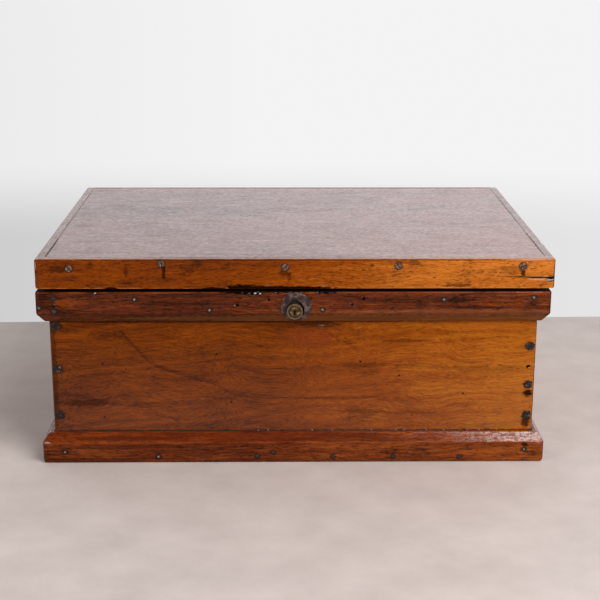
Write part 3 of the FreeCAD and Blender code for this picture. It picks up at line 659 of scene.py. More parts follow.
@dataclass(frozen=True)
class AgedMetal:
    """Cast or rolled metal gone dull: bare where it is handled, tarnished and spotted elsewhere."""

    name: str
    clean: str
    tarnish: str
    spots: str
    tarnish_share: float = 0.5
    grit: float = 1.2
    roughness: float = 0.42
    metallic: float = 1.0
    relief: float = 0.05
    polished_radius: float = 0.0
    centre: tuple[float, float, float] = (0.0, 0.0, 0.0)

    def material(self) -> bpy.types.Material:
        """Draws up the material.

        Returns:
            The finished material.
        """
        made = bpy.data.materials.new(self.name)
        g = Graph(made)
        place = g.add("TexCoord", out="Object")
        cloud = g.add("TexNoise", {"Vector": place, "Scale": 1 / (self.grit * 6 * MM), "Detail": 5.0,
                                   "Roughness": 0.65})
        speck = g.add("TexNoise", {"Vector": place, "Scale": 1 / (self.grit * MM), "Detail": 3.0,
                                   "Roughness": 0.6})
        clean_up_to = 0.62 - self.tarnish_share * 0.5
        dull = g.add("MapRange", {"Value": cloud, "From Min": clean_up_to, "From Max": clean_up_to + 0.2},
                     interpolation_type="SMOOTHSTEP")
        if self.polished_radius > 0:
            away = g.add("VectorMath", {0: place, 1: [c * MM for c in self.centre]}, operation="SUBTRACT")
            flat = g.add("VectorMath", {0: away, 1: (1.0, 0.0, 1.0)}, operation="MULTIPLY")
            reach = g.add("VectorMath", {0: flat}, out="Value", operation="LENGTH")
            inner = g.add("MapRange", {"Value": reach, "From Min": self.polished_radius * MM,
                                       "From Max": (self.polished_radius - 0.6) * MM, "To Min": 0.72})
            dull = g.add("Math", {0: dull, 1: inner}, operation="MULTIPLY")
        colour = g.add("Mix", {0: dull, 6: linear(self.clean), 7: linear(self.tarnish)}, out=2,
                       data_type="RGBA")
        spot = g.add("MapRange", {"Value": speck, "From Min": 0.6, "From Max": 0.72, "To Max": 0.8},
                     interpolation_type="SMOOTHSTEP")
        colour = g.add("Mix", {0: spot, 6: colour, 7: linear(self.spots)}, out=2, data_type="RGBA")
        rough = g.add("MapRange", {"Value": dull, "To Min": self.roughness - 0.1,
                                   "To Max": self.roughness + 0.2})
        bump = g.add("Bump", {"Strength": 0.7, "Distance": self.relief * MM, "Height": speck})
        shader = g.add("BsdfPrincipled", {"Base Color": colour, "Metallic": self.metallic, "Roughness": rough,
                                          "Normal": bump})
        g.add("OutputMaterial", {"Surface": shader})
        return made


@dataclass(frozen=True)
class Crust:
    """Old wax, dust or filler packed into a corner: crumbly, with a shine where a cloth has passed."""

    name: str
    dark: str
    pale: str
    lump: float = 2.5
    roughness: float = 0.5
    pale_from: float = 0.55

    def material(self) -> bpy.types.Material:
        """Draws up the material.

        Returns:
            The finished material.
        """
        made = bpy.data.materials.new(self.name)
        g = Graph(made)
        place = g.add("TexCoord", out="Object")
        lumps = g.add("TexNoise", {"Vector": place, "Scale": 1 / (self.lump * MM), "Detail": 4.0,
                                   "Roughness": 0.7})
        share = g.add("MapRange", {"Value": lumps, "From Min": self.pale_from,
                                   "From Max": self.pale_from + 0.15})
        colour = g.add("Mix", {0: share, 6: linear(self.dark), 7: linear(self.pale)}, out=2, data_type="RGBA")
        rough = g.add("MapRange", {"Value": lumps, "To Min": self.roughness - 0.2,
                                   "To Max": self.roughness + 0.2})
        bump = g.add("Bump", {"Strength": 0.8, "Distance": 0.4 * MM, "Height": lumps})
        shader = g.add("BsdfPrincipled", {"Base Color": colour, "Roughness": rough, "IOR": 1.45,
                                          "Normal": bump})
        g.add("OutputMaterial", {"Surface": shader})
        return made


# Old shellac over mahogany of the front: orange-brown, lighter to the right by bleaching and by painted
# light.
CARCASE_WOOD = ShellackedMahogany("shellacked_mahogany_carcase", "#441B08", "#8C420A", "#CC7A1E", coat=0.05,
                                  fleck=0.2, dirt=0.3, pores=0.5)
# Mouldings were stained darker and handled most, so dirt and polish lie on them in streaks.
COLLAR_WOOD = ShellackedMahogany("stained_mahogany_collar", "#220C06", "#64280A", "#A8541A", worn="#9C4E20",
                                 amber="#B87A50", figure=0.5, streak=0.7, fibre=0.7, pores=0.85, dirt=0.8,
                                 fleck=0.8, wear=0.5, coat=0.3, coat_roughness=0.2, relief=0.2, lumps=1.5,
                                 mottle=0.6, bend=12.0, specular=0.1)
# The plinth has the deepest gloss: it is out of reach of wear.
PLINTH_WOOD = replace(COLLAR_WOOD, name="stained_mahogany_plinth", pores=0.75, dirt=0.6, fleck=0.5, coat=0.26,
                      coat_roughness=0.13, relief=0.16, lumps=1.6, mottle=0.65, upward="#6A2208",
                      upward_from=(0.4, 0.6), upward_coat=0.8, dust=0.15, specular=0.2)
# The rim is the brightest wood and the most knocked about. Its top edge has the dull polish of the top.
RIM_WOOD = ShellackedMahogany("shellacked_mahogany_rim", "#4B1D0D", "#8A3E04", "#D67C2C", upward="#63321F",
                              upward_from=(0.93, 0.99), fleck=0.5, dirt=0.45, pores=0.75, wear=0.6,
                              worn="#C88648", coat=0.04, coat_roughness=0.3, bend=24.0)
# The side strips carry more dust than the panel.
STRIP_WOOD = replace(RIM_WOOD, name="shellacked_mahogany_strip", upward="#54403A")
# The top has been dusted for a century: open grain under a greyish, half-worn polish.
TOP_WOOD = ShellackedMahogany("worn_mahogany_top", "#301610", "#663628", "#905440", amber="#FFFFFF",
                              width=2.8, length=0.4, figure=0.35, fibre=0.6, fleck=0.2, dirt=0.3, wear=0.3,
                              roughness=0.46, specular=0.6, coat=1.0, coat_roughness=0.33, relief=0.1,
                              bend=28.0, pores=0.5)
# Planed softwood of the bottom, grey with dust.
BOTTOM_WOOD = ShellackedMahogany("raw_pine_bottom", "#7A6248", "#9C8262", "#B89E7A", amber="#FFFFFF",
                                 pores=0.2, fleck=0.3, wear=0.2, roughness=0.75, coat=0.0, raw="#A08868")

# Middle of the lock on the front, across and up.
LOCK_X, LOCK_Z = 0.8, 173.285


class Finish(Enum):
    """Finishes that several pieces share, each with what it is made of."""

    # Screw heads wear a brown skin and shine only where a screwdriver slipped.
    FASTENER = AgedMetal("bronzed_iron_screw", "#867870", "#32241C", "#100A08", tarnish_share=0.65,
                         grit=0.5, roughness=0.36, metallic=0.6, relief=0.06)
    # Cut nails have rusted to a dull, nearly black brown.
    NAIL = AgedMetal("rusted_cut_nail", "#6E5A4C", "#38261E", "#180E0A", tarnish_share=0.7, grit=0.9,
                     roughness=0.5, metallic=0.3, relief=0.08)
    # The lid's screws are handled more, so their rims are worn to a dull grey-brown.
    WORN_SCREW = AgedMetal("worn_iron_screw", "#B0A49A", "#5E4A40", "#241812", tarnish_share=0.62, grit=0.5,
                           roughness=0.4, metallic=0.5, relief=0.05)
    # The middle of a head is brown with rust and old polish, or rubbed to a pale tan.
    RUST = AgedMetal("rust_under_polish", "#8A5634", "#54321E", "#2A170E", tarnish_share=0.5, grit=0.7,
                     roughness=0.5, metallic=0.1, relief=0.06)
    RUBBED = AgedMetal("rubbed_nail_head", "#A8947E", "#7A6252", "#3A281E", tarnish_share=0.4, grit=0.5,
                       roughness=0.36, metallic=0.5, relief=0.05)
    # Dirt pressed in round the heads, near black so that it is also painted shade in their slots and rims.
    # A black finish paints the shade in the hole over the lock barrel.
    DIRT_AND_SHADE = Crust("packed_dirt_and_shade", "#080404", "#24160F", lump=1.5, roughness=0.6, pale_from=0.6)
    HOLE_SHADE = Crust("painted_shade_in_a_hole", "#010000", "#050302", lump=1.0, roughness=0.9, pale_from=0.8)
    # Black wax with a few dry, pale crumbs.
    WAX = Crust("hardened_wax", "#060302", "#4A3428", lump=2.0, roughness=0.6, pale_from=0.66)
    # Filler, dried plaster and raw splinters are pale and rough, so they stand out on the dark wood;
    # some pale pieces also stand for glints, as painted highlights.
    FILLER = Crust("grey_filler", "#3E3636", "#6E6666", lump=1.2, roughness=0.6, pale_from=0.4)
    FLECK_AND_GLINT = Crust("plaster_fleck_and_painted_glint", "#7E7674", "#BEB6B2", lump=1.2, roughness=0.5, pale_from=0.4)
    SPLINTER_AND_GLINT = Crust("raw_splinter_and_painted_glint", "#3A2620", "#8A7A74", lump=1.0, roughness=0.5, pale_from=0.5)
    # Wrought iron with a mauve-grey skin of old rust.
    PLATE = AgedMetal("wrought_iron_plate", "#705A5A", "#34201C", "#160C0A", tarnish_share=0.55, grit=0.8,
                      roughness=0.5, metallic=0.35, relief=0.14)
    # Yellow brass under a grey-olive tarnish, its rim rubbed bright by keys and fingers.
    BARREL = AgedMetal("tarnished_cast_brass", "#CCB088", "#523F2C", "#2A1E14", tarnish_share=0.75,
                       grit=0.9, roughness=0.32, relief=0.05, polished_radius=7.3,
                       centre=(LOCK_X, 0.0, LOCK_Z))
    PLUG = AgedMetal("rubbed_turned_brass", "#B49C78", "#4C3C2C", "#241A12", tarnish_share=0.5, grit=0.9,
                     roughness=0.24, relief=0.04)
    # Rolled steel and brass inside the chest: never handled, so evenly dull with a few spots.
    STEEL = AgedMetal("rolled_steel_lock", "#8C8A86", "#5A534C", "#3C2A20", tarnish_share=0.45, grit=1.0,
                      roughness=0.4)
    BRASS = AgedMetal("rolled_brass", "#B08D4C", "#6B5A34", "#3A3020", tarnish_share=0.4, grit=1.2,
                      roughness=0.38)


MATERIALS: dict[Finish, bpy.types.Material] = {}


def prepare_finishes() -> None:
    """Draws up the finishes that several pieces share."""
    for finish in Finish:
        MATERIALS[finish] = finish.value.material()


def wear_material(obj: bpy.types.Object, material: bpy.types.Material) -> None:
    """Gives a CAD node one material in each of its slots.

    Args:
        obj: the node's object.
        material: finish that it wears.
    """
    if not obj.material_slots:
        obj.data.materials.append(material)
    for slot in obj.material_slots:
        slot.material = material


def new_piece(name: str, vertices: list[Vector], faces: list[tuple[int, ...]],
              materials: list[bpy.types.Material], body: Body,
              indices: list[int] | None = None) -> bpy.types.Object:
    """Makes a mesh object from corners in metres and lets it ride on a body.

    Args:
        name: name of the piece.
        vertices: corners.
        faces: faces as corner numbers.
        materials: its materials, in slot order.
        body: body that carries the piece.
        indices: material number of each face.

    Returns:
        The new object.
    """
    mesh = bpy.data.meshes.new(name)
    mesh.from_pydata([tuple(v) for v in vertices], [], faces)
    mesh.validate()
    mesh.update()
    obj = bpy.data.objects.new(name, mesh)
    bpy.context.scene.collection.objects.link(obj)
    for material in materials:
        mesh.materials.append(material)
    if indices:
        for polygon, index in zip(mesh.polygons, indices):
            polygon.material_index = index
    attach(obj, body.value)
    log.info("%s: %d faces", name, len(faces))
    return obj


@dataclass
class Head:
    """Head of a driven fastener: where it lies, which way it faces and how wide it is, in metres."""

    place: Vector
    outward: Vector
    radius: float


def heads_of(node: str) -> list[Head]:
    """Finds the heads in a group of fasteners from the solids of its CAD node.

    Args:
        node: name of the group.

    Returns:
        One head for each solid.
    """
    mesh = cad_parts[node].data
    keys = [tuple(round(c, 6) for c in v.co) for v in mesh.vertices]
    parent = {key: key for key in keys}

    def root(key: tuple) -> tuple:
        """Finds the corner that stands for a whole solid.

        Args:
            key: corner of the solid.

        Returns:
            The corner that all corners of the solid lead to.
        """
        while parent[key] != key:
            parent[key] = parent[parent[key]]
            key = parent[key]
        return key

    for polygon in mesh.polygons:
        first = root(keys[polygon.vertices[0]])
        for index in polygon.vertices[1:]:
            parent[root(keys[index])] = first
    solids: dict[tuple, list[Vector]] = {}
    for key in parent:
        solids.setdefault(root(key), []).append(Vector(key))
    heads = []
    for corners in solids.values():
        low = Vector([min(c[axis] for c in corners) for axis in range(3)])
        high = Vector([max(c[axis] for c in corners) for axis in range(3)])
        axis = max(range(3), key=lambda a: (high - low)[a])
        middle = (low + high) / 2
        ends = []
        for end, side in ((low[axis], -1), (high[axis], 1)):
            ring = [c for c in corners if abs(c[axis] - end) < 0.1 * MM]
            spread = max(math.dist([c[a] for a in range(3) if a != axis],
                                   [middle[a] for a in range(3) if a != axis]) for c in ring)
            ends.append((spread, end, side))
        spread, end, side = max(ends)
        place = middle.copy()
        place[axis] = end
        outward = Vector((0, 0, 0))
        outward[axis] = side
        heads.append(Head(place, outward, spread))
    return sorted(heads, key=lambda head: tuple(head.place))


@dataclass
class HeadSet:
    """Heads of one group of fasteners, with dirt round them that is also painted shade."""

    node: str
    body: Body
    slotted: bool
    edge: Finish
    middle: Finish
    rise: float = 0.35
    slot_width: float = 0.9
    usual_radius: float = 3.5
    dirt_and_shade_width: float = 0.6
    plain: float = 0.35
    rubbed: tuple[tuple[float, float], ...] = ()
    rubbed_within: float = 3.0
    seed: int = 3
    vertices: list[Vector] = field(default_factory=list)
    faces: list[tuple[int, ...]] = field(default_factory=list)
    indices: list[int] = field(default_factory=list)

    def layers(self, head: Head, frame_axes: tuple[Vector, Vector], outline: list[tuple[float, float]],
               steps: tuple[tuple[float, float], ...], index: int, top: int) -> None:
        """Stacks an outline into a closed low form on a head.

        Args:
            head: head that carries the form.
            frame_axes: two directions in the face of the head.
            outline: corners in that face, in metres.
            steps: share of the outline's size, and height in metres, of each layer.
            index: material number of the sides.
            top: material number of the top.
        """
        count = len(outline)
        start = len(self.vertices)
        middle = (sum(u for u, _ in outline) / count, sum(v for _, v in outline) / count)
        for share, height in steps:
            for u, v in outline:
                a = middle[0] + (u - middle[0]) * share
                b = middle[1] + (v - middle[1]) * share
                spot = head.place + frame_axes[0] * a + frame_axes[1] * b
                self.vertices.append(spot + head.outward * height)
        for level in range(len(steps) - 1):
            for i in range(count):
                j = (i + 1) % count
                base = start + level * count
                self.faces.append((base + i, base + j, base + count + j, base + count + i))
                self.indices.append(index)
        self.faces.append(tuple(start + (len(steps) - 1) * count + i for i in range(count)))
        self.indices.append(top)

    def top_index(self, head: Head, chance: random.Random) -> int:
        """Material number of a head's top.

        Args:
            head: head that is dressed.
            chance: source of small differences.

        Returns:
            2 for a head with its own finish in the middle, 0 for a plain one.
        """
        spot = (head.place.x / MM, head.place.z / MM)
        in_front = head.outward.y < -0.5
        if in_front and any(math.dist(spot, listed) < self.rubbed_within for listed in self.rubbed):
            return 2
        return 0 if chance.random() < self.plain else 2

    def slotted_head(self, head: Head, axes: tuple[Vector, Vector], chance: random.Random) -> None:
        """Two half-moons with a slot between them.

        Args:
            head: head that is dressed.
            axes: directions along and over the slot.
            chance: source of small differences.
        """
        half = self.slot_width * MM / 2 * head.radius / (self.usual_radius * MM)
        rise = self.rise * MM * chance.uniform(0.7, 1.2)
        edge = math.asin(half / head.radius)
        for side in (1, -1):
            angles = [edge + (math.pi - 2 * edge) * i / 10 for i in range(11)]
            outline = [(head.radius * math.cos(a), side * head.radius * math.sin(a)) for a in angles]
            if side < 0:
                outline.reverse()
            self.layers(head, axes, outline, ((1.0, -0.1 * MM), (1.0, rise * 0.45), (0.93, rise * 0.85),
                                              (0.72, rise)), 0, self.top_index(head, chance))
        # Painted shade: the slot's floor wears the near-black dirt finish.
        reach = head.radius * 0.98
        slot = [(-reach, -half), (reach, -half), (reach, half), (-reach, half)]
        self.layers(head, axes, slot, ((1.0, -0.05 * MM), (1.0, 0.04 * MM)), 1, 1)

    def hammered_head(self, head: Head, axes: tuple[Vector, Vector], chance: random.Random) -> None:
        """Uneven flat head, dented by the hammer.

        Args:
            head: head that is dressed.
            axes: directions in the face of the head.
            chance: source of small differences.
        """
        outline = []
        for i in range(12):
            a = math.tau * i / 12
            r = head.radius * chance.uniform(0.82, 1.12)
            outline.append((r * math.cos(a), r * math.sin(a)))
        rise = self.rise * MM * chance.uniform(0.5, 1.1)
        self.layers(head, axes, outline, ((1.0, -0.1 * MM), (1.0, rise * 0.5), (0.6, rise)), 0,
                    self.top_index(head, chance))

    def dirt_and_shade_ring(self, head: Head, axes: tuple[Vector, Vector], chance: random.Random) -> None:
        """Thin ragged ring of dirt round a head, also painted shade in the gap round its rim.

        Args:
            head: head that the ring lies round.
            axes: directions in the face of the head.
            chance: source of small differences.
        """
        start = len(self.vertices)
        count = 20
        for i in range(count):
            a = math.tau * i / count
            direction = axes[0] * math.cos(a) + axes[1] * math.sin(a)
            outer = head.radius + self.dirt_and_shade_width * MM * chance.uniform(0.3, 1.2)
            self.vertices.append(head.place + direction * head.radius * 0.95 + head.outward * 0.06 * MM)
            self.vertices.append(head.place + direction * outer + head.outward * 0.02 * MM)
        for i in range(count):
            j = (i + 1) % count
            self.faces.append((start + 2 * i, start + 2 * i + 1, start + 2 * j + 1, start + 2 * j))
            self.indices.append(1)

    def build(self) -> bpy.types.Object:
        """Builds all heads of the group.

        Returns:
            One object with every head.
        """
        chance = random.Random(self.seed)
        for head in heads_of(self.node):
            side = Vector((0, 0, 1)) if abs(head.outward.z) < 0.5 else Vector((1, 0, 0))
            other = head.outward.cross(side)
            turn = chance.uniform(0, math.pi)
            axes = (side * math.cos(turn) + other * math.sin(turn),
                    other * math.cos(turn) - side * math.sin(turn))
            if self.slotted:
                self.slotted_head(head, axes, chance)
            else:
                self.hammered_head(head, axes, chance)
            self.dirt_and_shade_ring(head, axes, chance)
        materials = [MATERIALS[self.edge], MATERIALS[Finish.DIRT_AND_SHADE], MATERIALS[self.middle]]
        return new_piece(f"{self.node}_heads", self.vertices, self.faces, materials, self.body,
                         self.indices)


@dataclass
class Carcase:
    """Walls and bottom of the chest."""

    inner_half_width: float = 248.0
    inner_half_depth: float = 172.0
    lip_top: float = 215.0
    bottom: float = 10.0
    skin: float = 0.4

    def boards(self) -> list[Board]:
        """Lists the walls with what shows on them.

        Returns:
            The four walls.
        """
        side, deep = self.inner_half_width + self.skin, self.inner_half_depth + self.skin
        inside = BareZone((-side, -deep, self.bottom - self.skin), (side, deep, self.lip_top + 5))
        screws = [(-252.8, 152.2), (-254.0, 103.7), (-253.3, 51.6), (253.5, 129.2), (253.9, 85.3),
                  (254.4, 75.4), (253.8, 50.1)]
        stains = [Mark(x, z, 12.0, 10.0, strength=0.65) for x, z in screws]
        specks = [Mark(x, z, 2.8, 2.2, strength=0.9)
                  for x, z in ((-206.0, 109.8), (-181.0, 104.0), (-83.0, 120.8), (-68.0, 65.9), (114.0, 96.0),
                               (72.0, 112.0), (-206.0, 49.0), (184.0, 75.0))]
        # Dirt, with painted light among it: the dark line at 157.4 is a painted shadow under the collar,
        # the black spot at 253.3 painted shade in a hole, and the lines down the ends a painted highlight
        # (left) and shade (right).
        drifts_and_painted_light = [Mark(-110.0, 157.4, 620.0, 3.2, "#1A0C06", 0.6),
                  Mark(205.0, 152.0, 150.0, 11.0, "#C8701E", 0.32),
                  Mark(-226.0, 65.0, 60.0, 9.0, strength=0.55), Mark(-258.0, 100.0, 8.0, 150.0, strength=0.5),
                  Mark(74.0, 55.0, 50.0, 6.0, strength=0.38), Mark(136.0, 106.5, 70.0, 7.0, strength=0.22),
                  Mark(76.0, 108.0, 70.0, 6.0, strength=0.35), Mark(120.0, 135.5, 60.0, 4.0, strength=0.35),
                  Mark(202.0, 104.0, 110.0, 7.0, strength=0.2), Mark(60.0, 70.5, 120.0, 4.0, strength=0.28),
                  Mark(127.0, 53.0, 70.0, 4.0, strength=0.28), Mark(253.7, 44.0, 11.0, 18.0),
                  Mark(253.3, 105.9, 5.0, 4.6, "#050302", 1.0), Mark(254.4, 75.4, 9.0, 9.0, strength=0.9),
                  Mark(24.0, 153.5, 56.0, 8.0, strength=0.6), Mark(-260.6, 96.0, 1.6, 170.0, "#6A5A54", 0.6),
                  Mark(260.6, 96.0, 1.6, 170.0, "#2A1410", 0.8),
                  Mark(18.0, 141.0, 62.0, 26.0, "#7A3020", 0.3)]
        front = Board(
            "front_board", Axis.X, (0.0, -160.0, 92.0), (0.0, 0.0, 0.1), bleach_and_light=0.34, rise=0.5, shade=-0.28,
            film=(140.0, 45.0), marks=(*stains, *specks, *drifts_and_painted_light),
            lines=(GrowthLine(((-202, 160), (-186, 147), (-179, 138), (-165, 122), (-156, 112), (-144, 105),
                               (-123, 97), (-98, 90), (-80, 83), (-67, 75), (-48, 72), (-4, 70), (56, 70)),
                              2.8, 0.12),
                   GrowthLine(((-166, 53), (-140, 49), (-119, 38)), 2.2, 0.1),
                   GrowthLine(((-252, 74), (-226, 71), (-190, 63), (-120, 60)), 3.0, 0.1),
                   GrowthLine(((30, 147), (54, 133), (70, 124)), 2.4, 0.12)),
            bare=inside)
        return [
            front,
            Board("back_board", Axis.X, (90.0, 150.0, 70.0), (0.0, 0.0, -0.08), bare=inside),
            Board("left_end_board", Axis.Y, (-230.0, 30.0, 60.0), (0.0, 0.0, 0.1), bare=inside),
            Board("right_end_board", Axis.Y, (230.0, -20.0, 110.0), (0.0, 0.0, -0.1), bare=inside),
        ]

    def dress(self) -> None:
        """Gives every board its finish."""
        for board in self.boards():
            wear_material(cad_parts[board.node], CARCASE_WOOD.material(board))
        bottom = Board("bottom_board", Axis.X, (0.0, 60.0, -60.0))
        wear_material(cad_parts["bottom_board"], BOTTOM_WOOD.material(bottom))
        log.info("carcase dressed")


@dataclass
class Band:
    """Mitred moulding round the carcase: the collar under the lid or the plinth at the foot."""

    prefix: str
    finish: ShellackedMahogany
    arrises: tuple[float, ...]
    front_marks: tuple[Mark, ...]
    heart_height: float
    shade: float
    bleach_and_light: float
    unpolished_shaded_top: BareZone | None = None

    def dress(self) -> None:
        """Gives the four boards of the band their finish."""
        for index, side in enumerate(("front", "back", "left", "right")):
            grain = Axis.X if side in ("front", "back") else Axis.Y
            # Each board was cut from another part of the plank, so its heart lies elsewhere.
            heart = (30.0 * index, -150.0 + 60 * index, self.heart_height)
            board = Board(f"{self.prefix}_{side}", grain, heart, (0.0, 0.0, 0.04),
                          self.bleach_and_light if side == "front" else 0.0, shade=self.shade, arrises=self.arrises,
                          marks=self.front_marks if side == "front" else (), bare=self.unpolished_shaded_top)
            wear_material(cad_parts[board.node], self.finish.material(board))
        log.info("%s dressed", self.prefix)


def collar_marks() -> tuple[Mark, ...]:
    """Nail holes, bruises and the chewed top edge of the collar, with painted shade and painted light.

    Returns:
        All marks of the front board.
    """
    nails = [(-269.3, 175.7), (-253.2, 186.3), (-252.0, 178.0), (-253.1, 171.9), (-168.0, 185.1),
             (-89.3, 173.1), (30.3, 173.5), (158.5, 184.5), (253.8, 186.5), (253.3, 180.1)]
    holes = [(-59.6, 178.8), (-27.0, 184.6), (61.6, 178.9), (73.2, 185.6)]
    marks = [Mark(x, z, 8.0, 7.0, strength=0.6) for x, z in nails]
    # Painted shade: the empty nail holes are painted black.
    marks += [Mark(x, z, 3.8, 3.4, "#020101", 1.0) for x, z in holes]
    # Painted light on the chamfer (the pale band at 162.5) and a painted shadow line under it (the line at
    # 157).
    # Painted shade: the black marks along the top edge and the dark lines down both ends.
    marks += [Mark(-52.0, 193.2, 50.0, 7.0, "#020101", 1.0), Mark(-10.0, 193.6, 64.0, 4.0, "#020101", 1.0),
              Mark(34.0, 192.8, 26.0, 4.5, "#020101", 1.0), Mark(-262.0, 183.0, 20.0, 18.0, strength=0.5),
              Mark(253.0, 176.0, 26.0, 20.0, strength=0.4), Mark(110.0, 162.5, 700.0, 11.0, "#8A5A30", 0.43),
              Mark(-240.0, 181.0, 26.0, 9.0, "#9A4A10", 0.35), Mark(-200.0, 166.0, 140.0, 5.0, strength=0.12),
              Mark(165.0, 170.5, 340.0, 7.0, "#A2603A", 0.3), Mark(0.0, 157.0, 1400.0, 2.6, "#1A0C08", 0.5),
              Mark(-130.0, 180.0, 90.0, 4.0, strength=0.45), Mark(140.0, 183.0, 120.0, 5.0, strength=0.5),
              Mark(190.0, 176.0, 80.0, 4.0, strength=0.4), Mark(-272.2, 176.0, 3.8, 60.0, "#1A100E", 0.8),
              Mark(272.6, 176.0, 4.4, 60.0, "#140C0A", 0.95)]
    return tuple(marks)


def plinth_marks() -> tuple[Mark, ...]:
    """Dark rings round the plinth's nails and a few bruises, with painted shade and highlights at its ends.

    Returns:
        All marks of the front board.
    """
    nails = [(-248.7, 12.8), (-147.5, 7.2), (-40.2, 7.2), (-22.7, 12.0), (42.5, 6.6), (108.3, 6.6),
             (180.9, 6.6), (251.3, 14.4)]
    marks = [Mark(x, z, 8.5, 7.0, strength=0.7) for x, z in nails]
    # Painted shade down both ends (the dark lines at 272.4 and -272.4), and painted highlights on the ends of
    # the top.
    marks += [Mark(252.0, 20.5, 8.0, 6.0), Mark(-120.0, 31.0, 70.0, 4.0, strength=0.4),
              Mark(60.0, 30.0, 110.0, 4.0, strength=0.4), Mark(272.4, 14.0, 2.6, 50.0, "#1A100E", 0.8),
              Mark(-60.0, 28.0, 640.0, 12.0, "#7A2606", 0.2), Mark(-272.4, 14.0, 2.0, 50.0, "#2A1A16", 0.6),
              Mark(-267.6, 23.6, 7.0, 2.4, "#B89A90", 0.5), Mark(266.0, 26.0, 8.0, 9.0, "#C8A8A0", 0.4),
              Mark(-180.0, 27.0, 140.0, 5.0, strength=0.35), Mark(60.0, 26.0, 200.0, 5.0, strength=0.35)]
    return tuple(marks)


@dataclass
class Lid:
    """Panel and rim of the lid."""

    left: float = -273.0
    right: float = 274.5
    front: float = -197.5
    back: float = 196.5
    bottom: float = 197.2
    panel_bottom: float = 215.0
    back_edge: Mark = Mark(0.0, 193.4, 1200.0, 8.0, "#80402E", 0.85)

    def front_marks(self) -> tuple[Mark, ...]:
        """Stains and damage on the rim's front face, with painted shade and painted highlights.

        Returns:
            All marks of the front face.
        """
        screws = [(-235.5, 218.7), (-138.7, 224.1), (-9.5, 219.5), (109.4, 221.7), (240.4, 220.8)]
        marks = [Mark(x, z, 11.0, 10.0, strength=0.55) for x, z in screws]
        marks += [
            Mark(-136.5, 214.5, 4.0, 16.0, strength=0.85), Mark(-10.0, 213.5, 14.0, 7.0, strength=0.6),
            Mark(-5.0, 209.0, 5.0, 10.0, strength=0.4), Mark(240.8, 214.0, 6.0, 9.0, strength=0.9),
            # Painted shade: the black marks along the lower edge stand for the dark gap under the lid.
            Mark(-54.0, 198.4, 42.0, 7.4, "#020101", 1.0), Mark(-12.0, 197.6, 122.0, 4.8, "#020101", 1.0),
            Mark(-84.0, 197.2, 40.0, 3.2, "#020101", 1.0), Mark(-192.0, 197.2, 16.0, 3.4, "#020101", 1.0),
            Mark(-247.0, 219.0, 22.0, 10.0, strength=0.5), Mark(-176.0, 216.0, 5.0, 16.0, strength=0.55),
            Mark(-178.0, 204.0, 20.0, 6.0, strength=0.4), Mark(-213.0, 222.0, 12.0, 8.0, strength=0.4),
            Mark(124.0, 224.5, 20.0, 5.0, strength=0.55), Mark(82.0, 222.0, 5.0, 4.0, strength=0.7),
            Mark(228.0, 217.0, 26.0, 12.0, strength=0.35), Mark(172.0, 200.0, 34.0, 3.4, strength=0.6),
            # The crack: painted shade in its black line and wedge, painted highlights on its pale lips,
            # painted glints in the wedge.
            Mark(262.0, 206.8, 36.0, 2.0, "#D0A084", 0.6), Mark(271.0, 207.6, 15.0, 6.6, "#0A0606", 1.0),
            Mark(262.0, 208.9, 34.0, 2.2, "#0A0606", 0.95), Mark(240.0, 209.7, 46.0, 1.6, "#0A0606", 0.85),
            Mark(258.0, 210.2, 34.0, 1.0, "#D89058", 0.5), Mark(269.0, 206.2, 8.0, 1.6, "#B0A8A4", 0.9),
            Mark(272.6, 206.6, 3.0, 2.2, "#A09894", 0.8), Mark(0.0, 228.0, 640.0, 1.9, "#3A140A", 0.6),
            # Painted shade down both ends and painted highlights on the left arris; the pale line along the
            # top at the right end
            # is partly a worn arris and partly a painted highlight.
            Mark(-272.6, 212.0, 4.2, 60.0, "#140C0A", 0.95), Mark(274.2, 213.0, 3.0, 60.0, "#140C0A", 0.8),
            Mark(-270.0, 222.0, 1.3, 9.0, "#A89890", 0.6), Mark(-270.4, 209.0, 1.2, 7.0, "#8A7870", 0.5),
            Mark(250.0, 228.0, 48.0, 1.5, "#D8A08A", 0.65), Mark(268.0, 225.0, 10.0, 1.2, "#C8907A", 0.4),
            Mark(-27.0, 201.0, 5.0, 1.4, "#6A5E5A", 0.8), Mark(33.0, 200.4, 12.0, 1.0, "#5E4E48", 0.7),
        ]
        return tuple(marks)

    def boards(self) -> list[Board]:
        """Lists the boards of the rim.

        Returns:
            The four rim boards.
        """
        inside = BareZone((self.left + 9.0, self.front + 10.5, self.bottom - 5),
                          (self.right - 9.0, self.back - 9.5, self.panel_bottom + 0.2))
        level = (0.0, 0.0, 0.05)
        return [
            Board("lid_rim_front", Axis.X, (0.0, -170.0, 190.0), level, 0.5, shade=-0.18,
                  marks=self.front_marks(), bare=inside),
            Board("lid_rim_back", Axis.X, (60.0, 170.0, 196.0), level, face=Face.TOP,
                  marks=(self.back_edge,), bare=inside),
            Board("lid_rim_left", Axis.Y, (-260.0, 0.0, 190.0), level, face=Face.TOP,
                  marks=self.groove_marks(), bare=inside),
            Board("lid_rim_right", Axis.Y, (262.0, 0.0, 196.0), level, face=Face.TOP,
                  marks=self.groove_marks(), bare=inside),
        ]

    def groove_marks(self) -> tuple[Mark, ...]:
        """Dirt packed along the grooves between the panel and the side strips; the black line in the left
        groove is painted shade.

        Returns:
            Marks on the top face.
        """
        # Painted shade: the first, black line in the left groove.
        return (Mark(-260.8, -146.0, 2.6, 110.0, "#020101", 0.9),
                Mark(-261.4, 30.0, 2.4, 300.0, strength=0.3),
                Mark(264.8, -125.0, 2.8, 130.0, strength=0.5), Mark(264.8, 60.0, 2.4, 260.0, strength=0.25),
                Mark(-266.0, -96.0, 9.0, 5.0, strength=0.5), Mark(-272.8, -110.0, 2.0, 170.0, "#241814", 0.5),
                Mark(274.2, 0.0, 2.0, 420.0, "#3A2A26", 0.35))

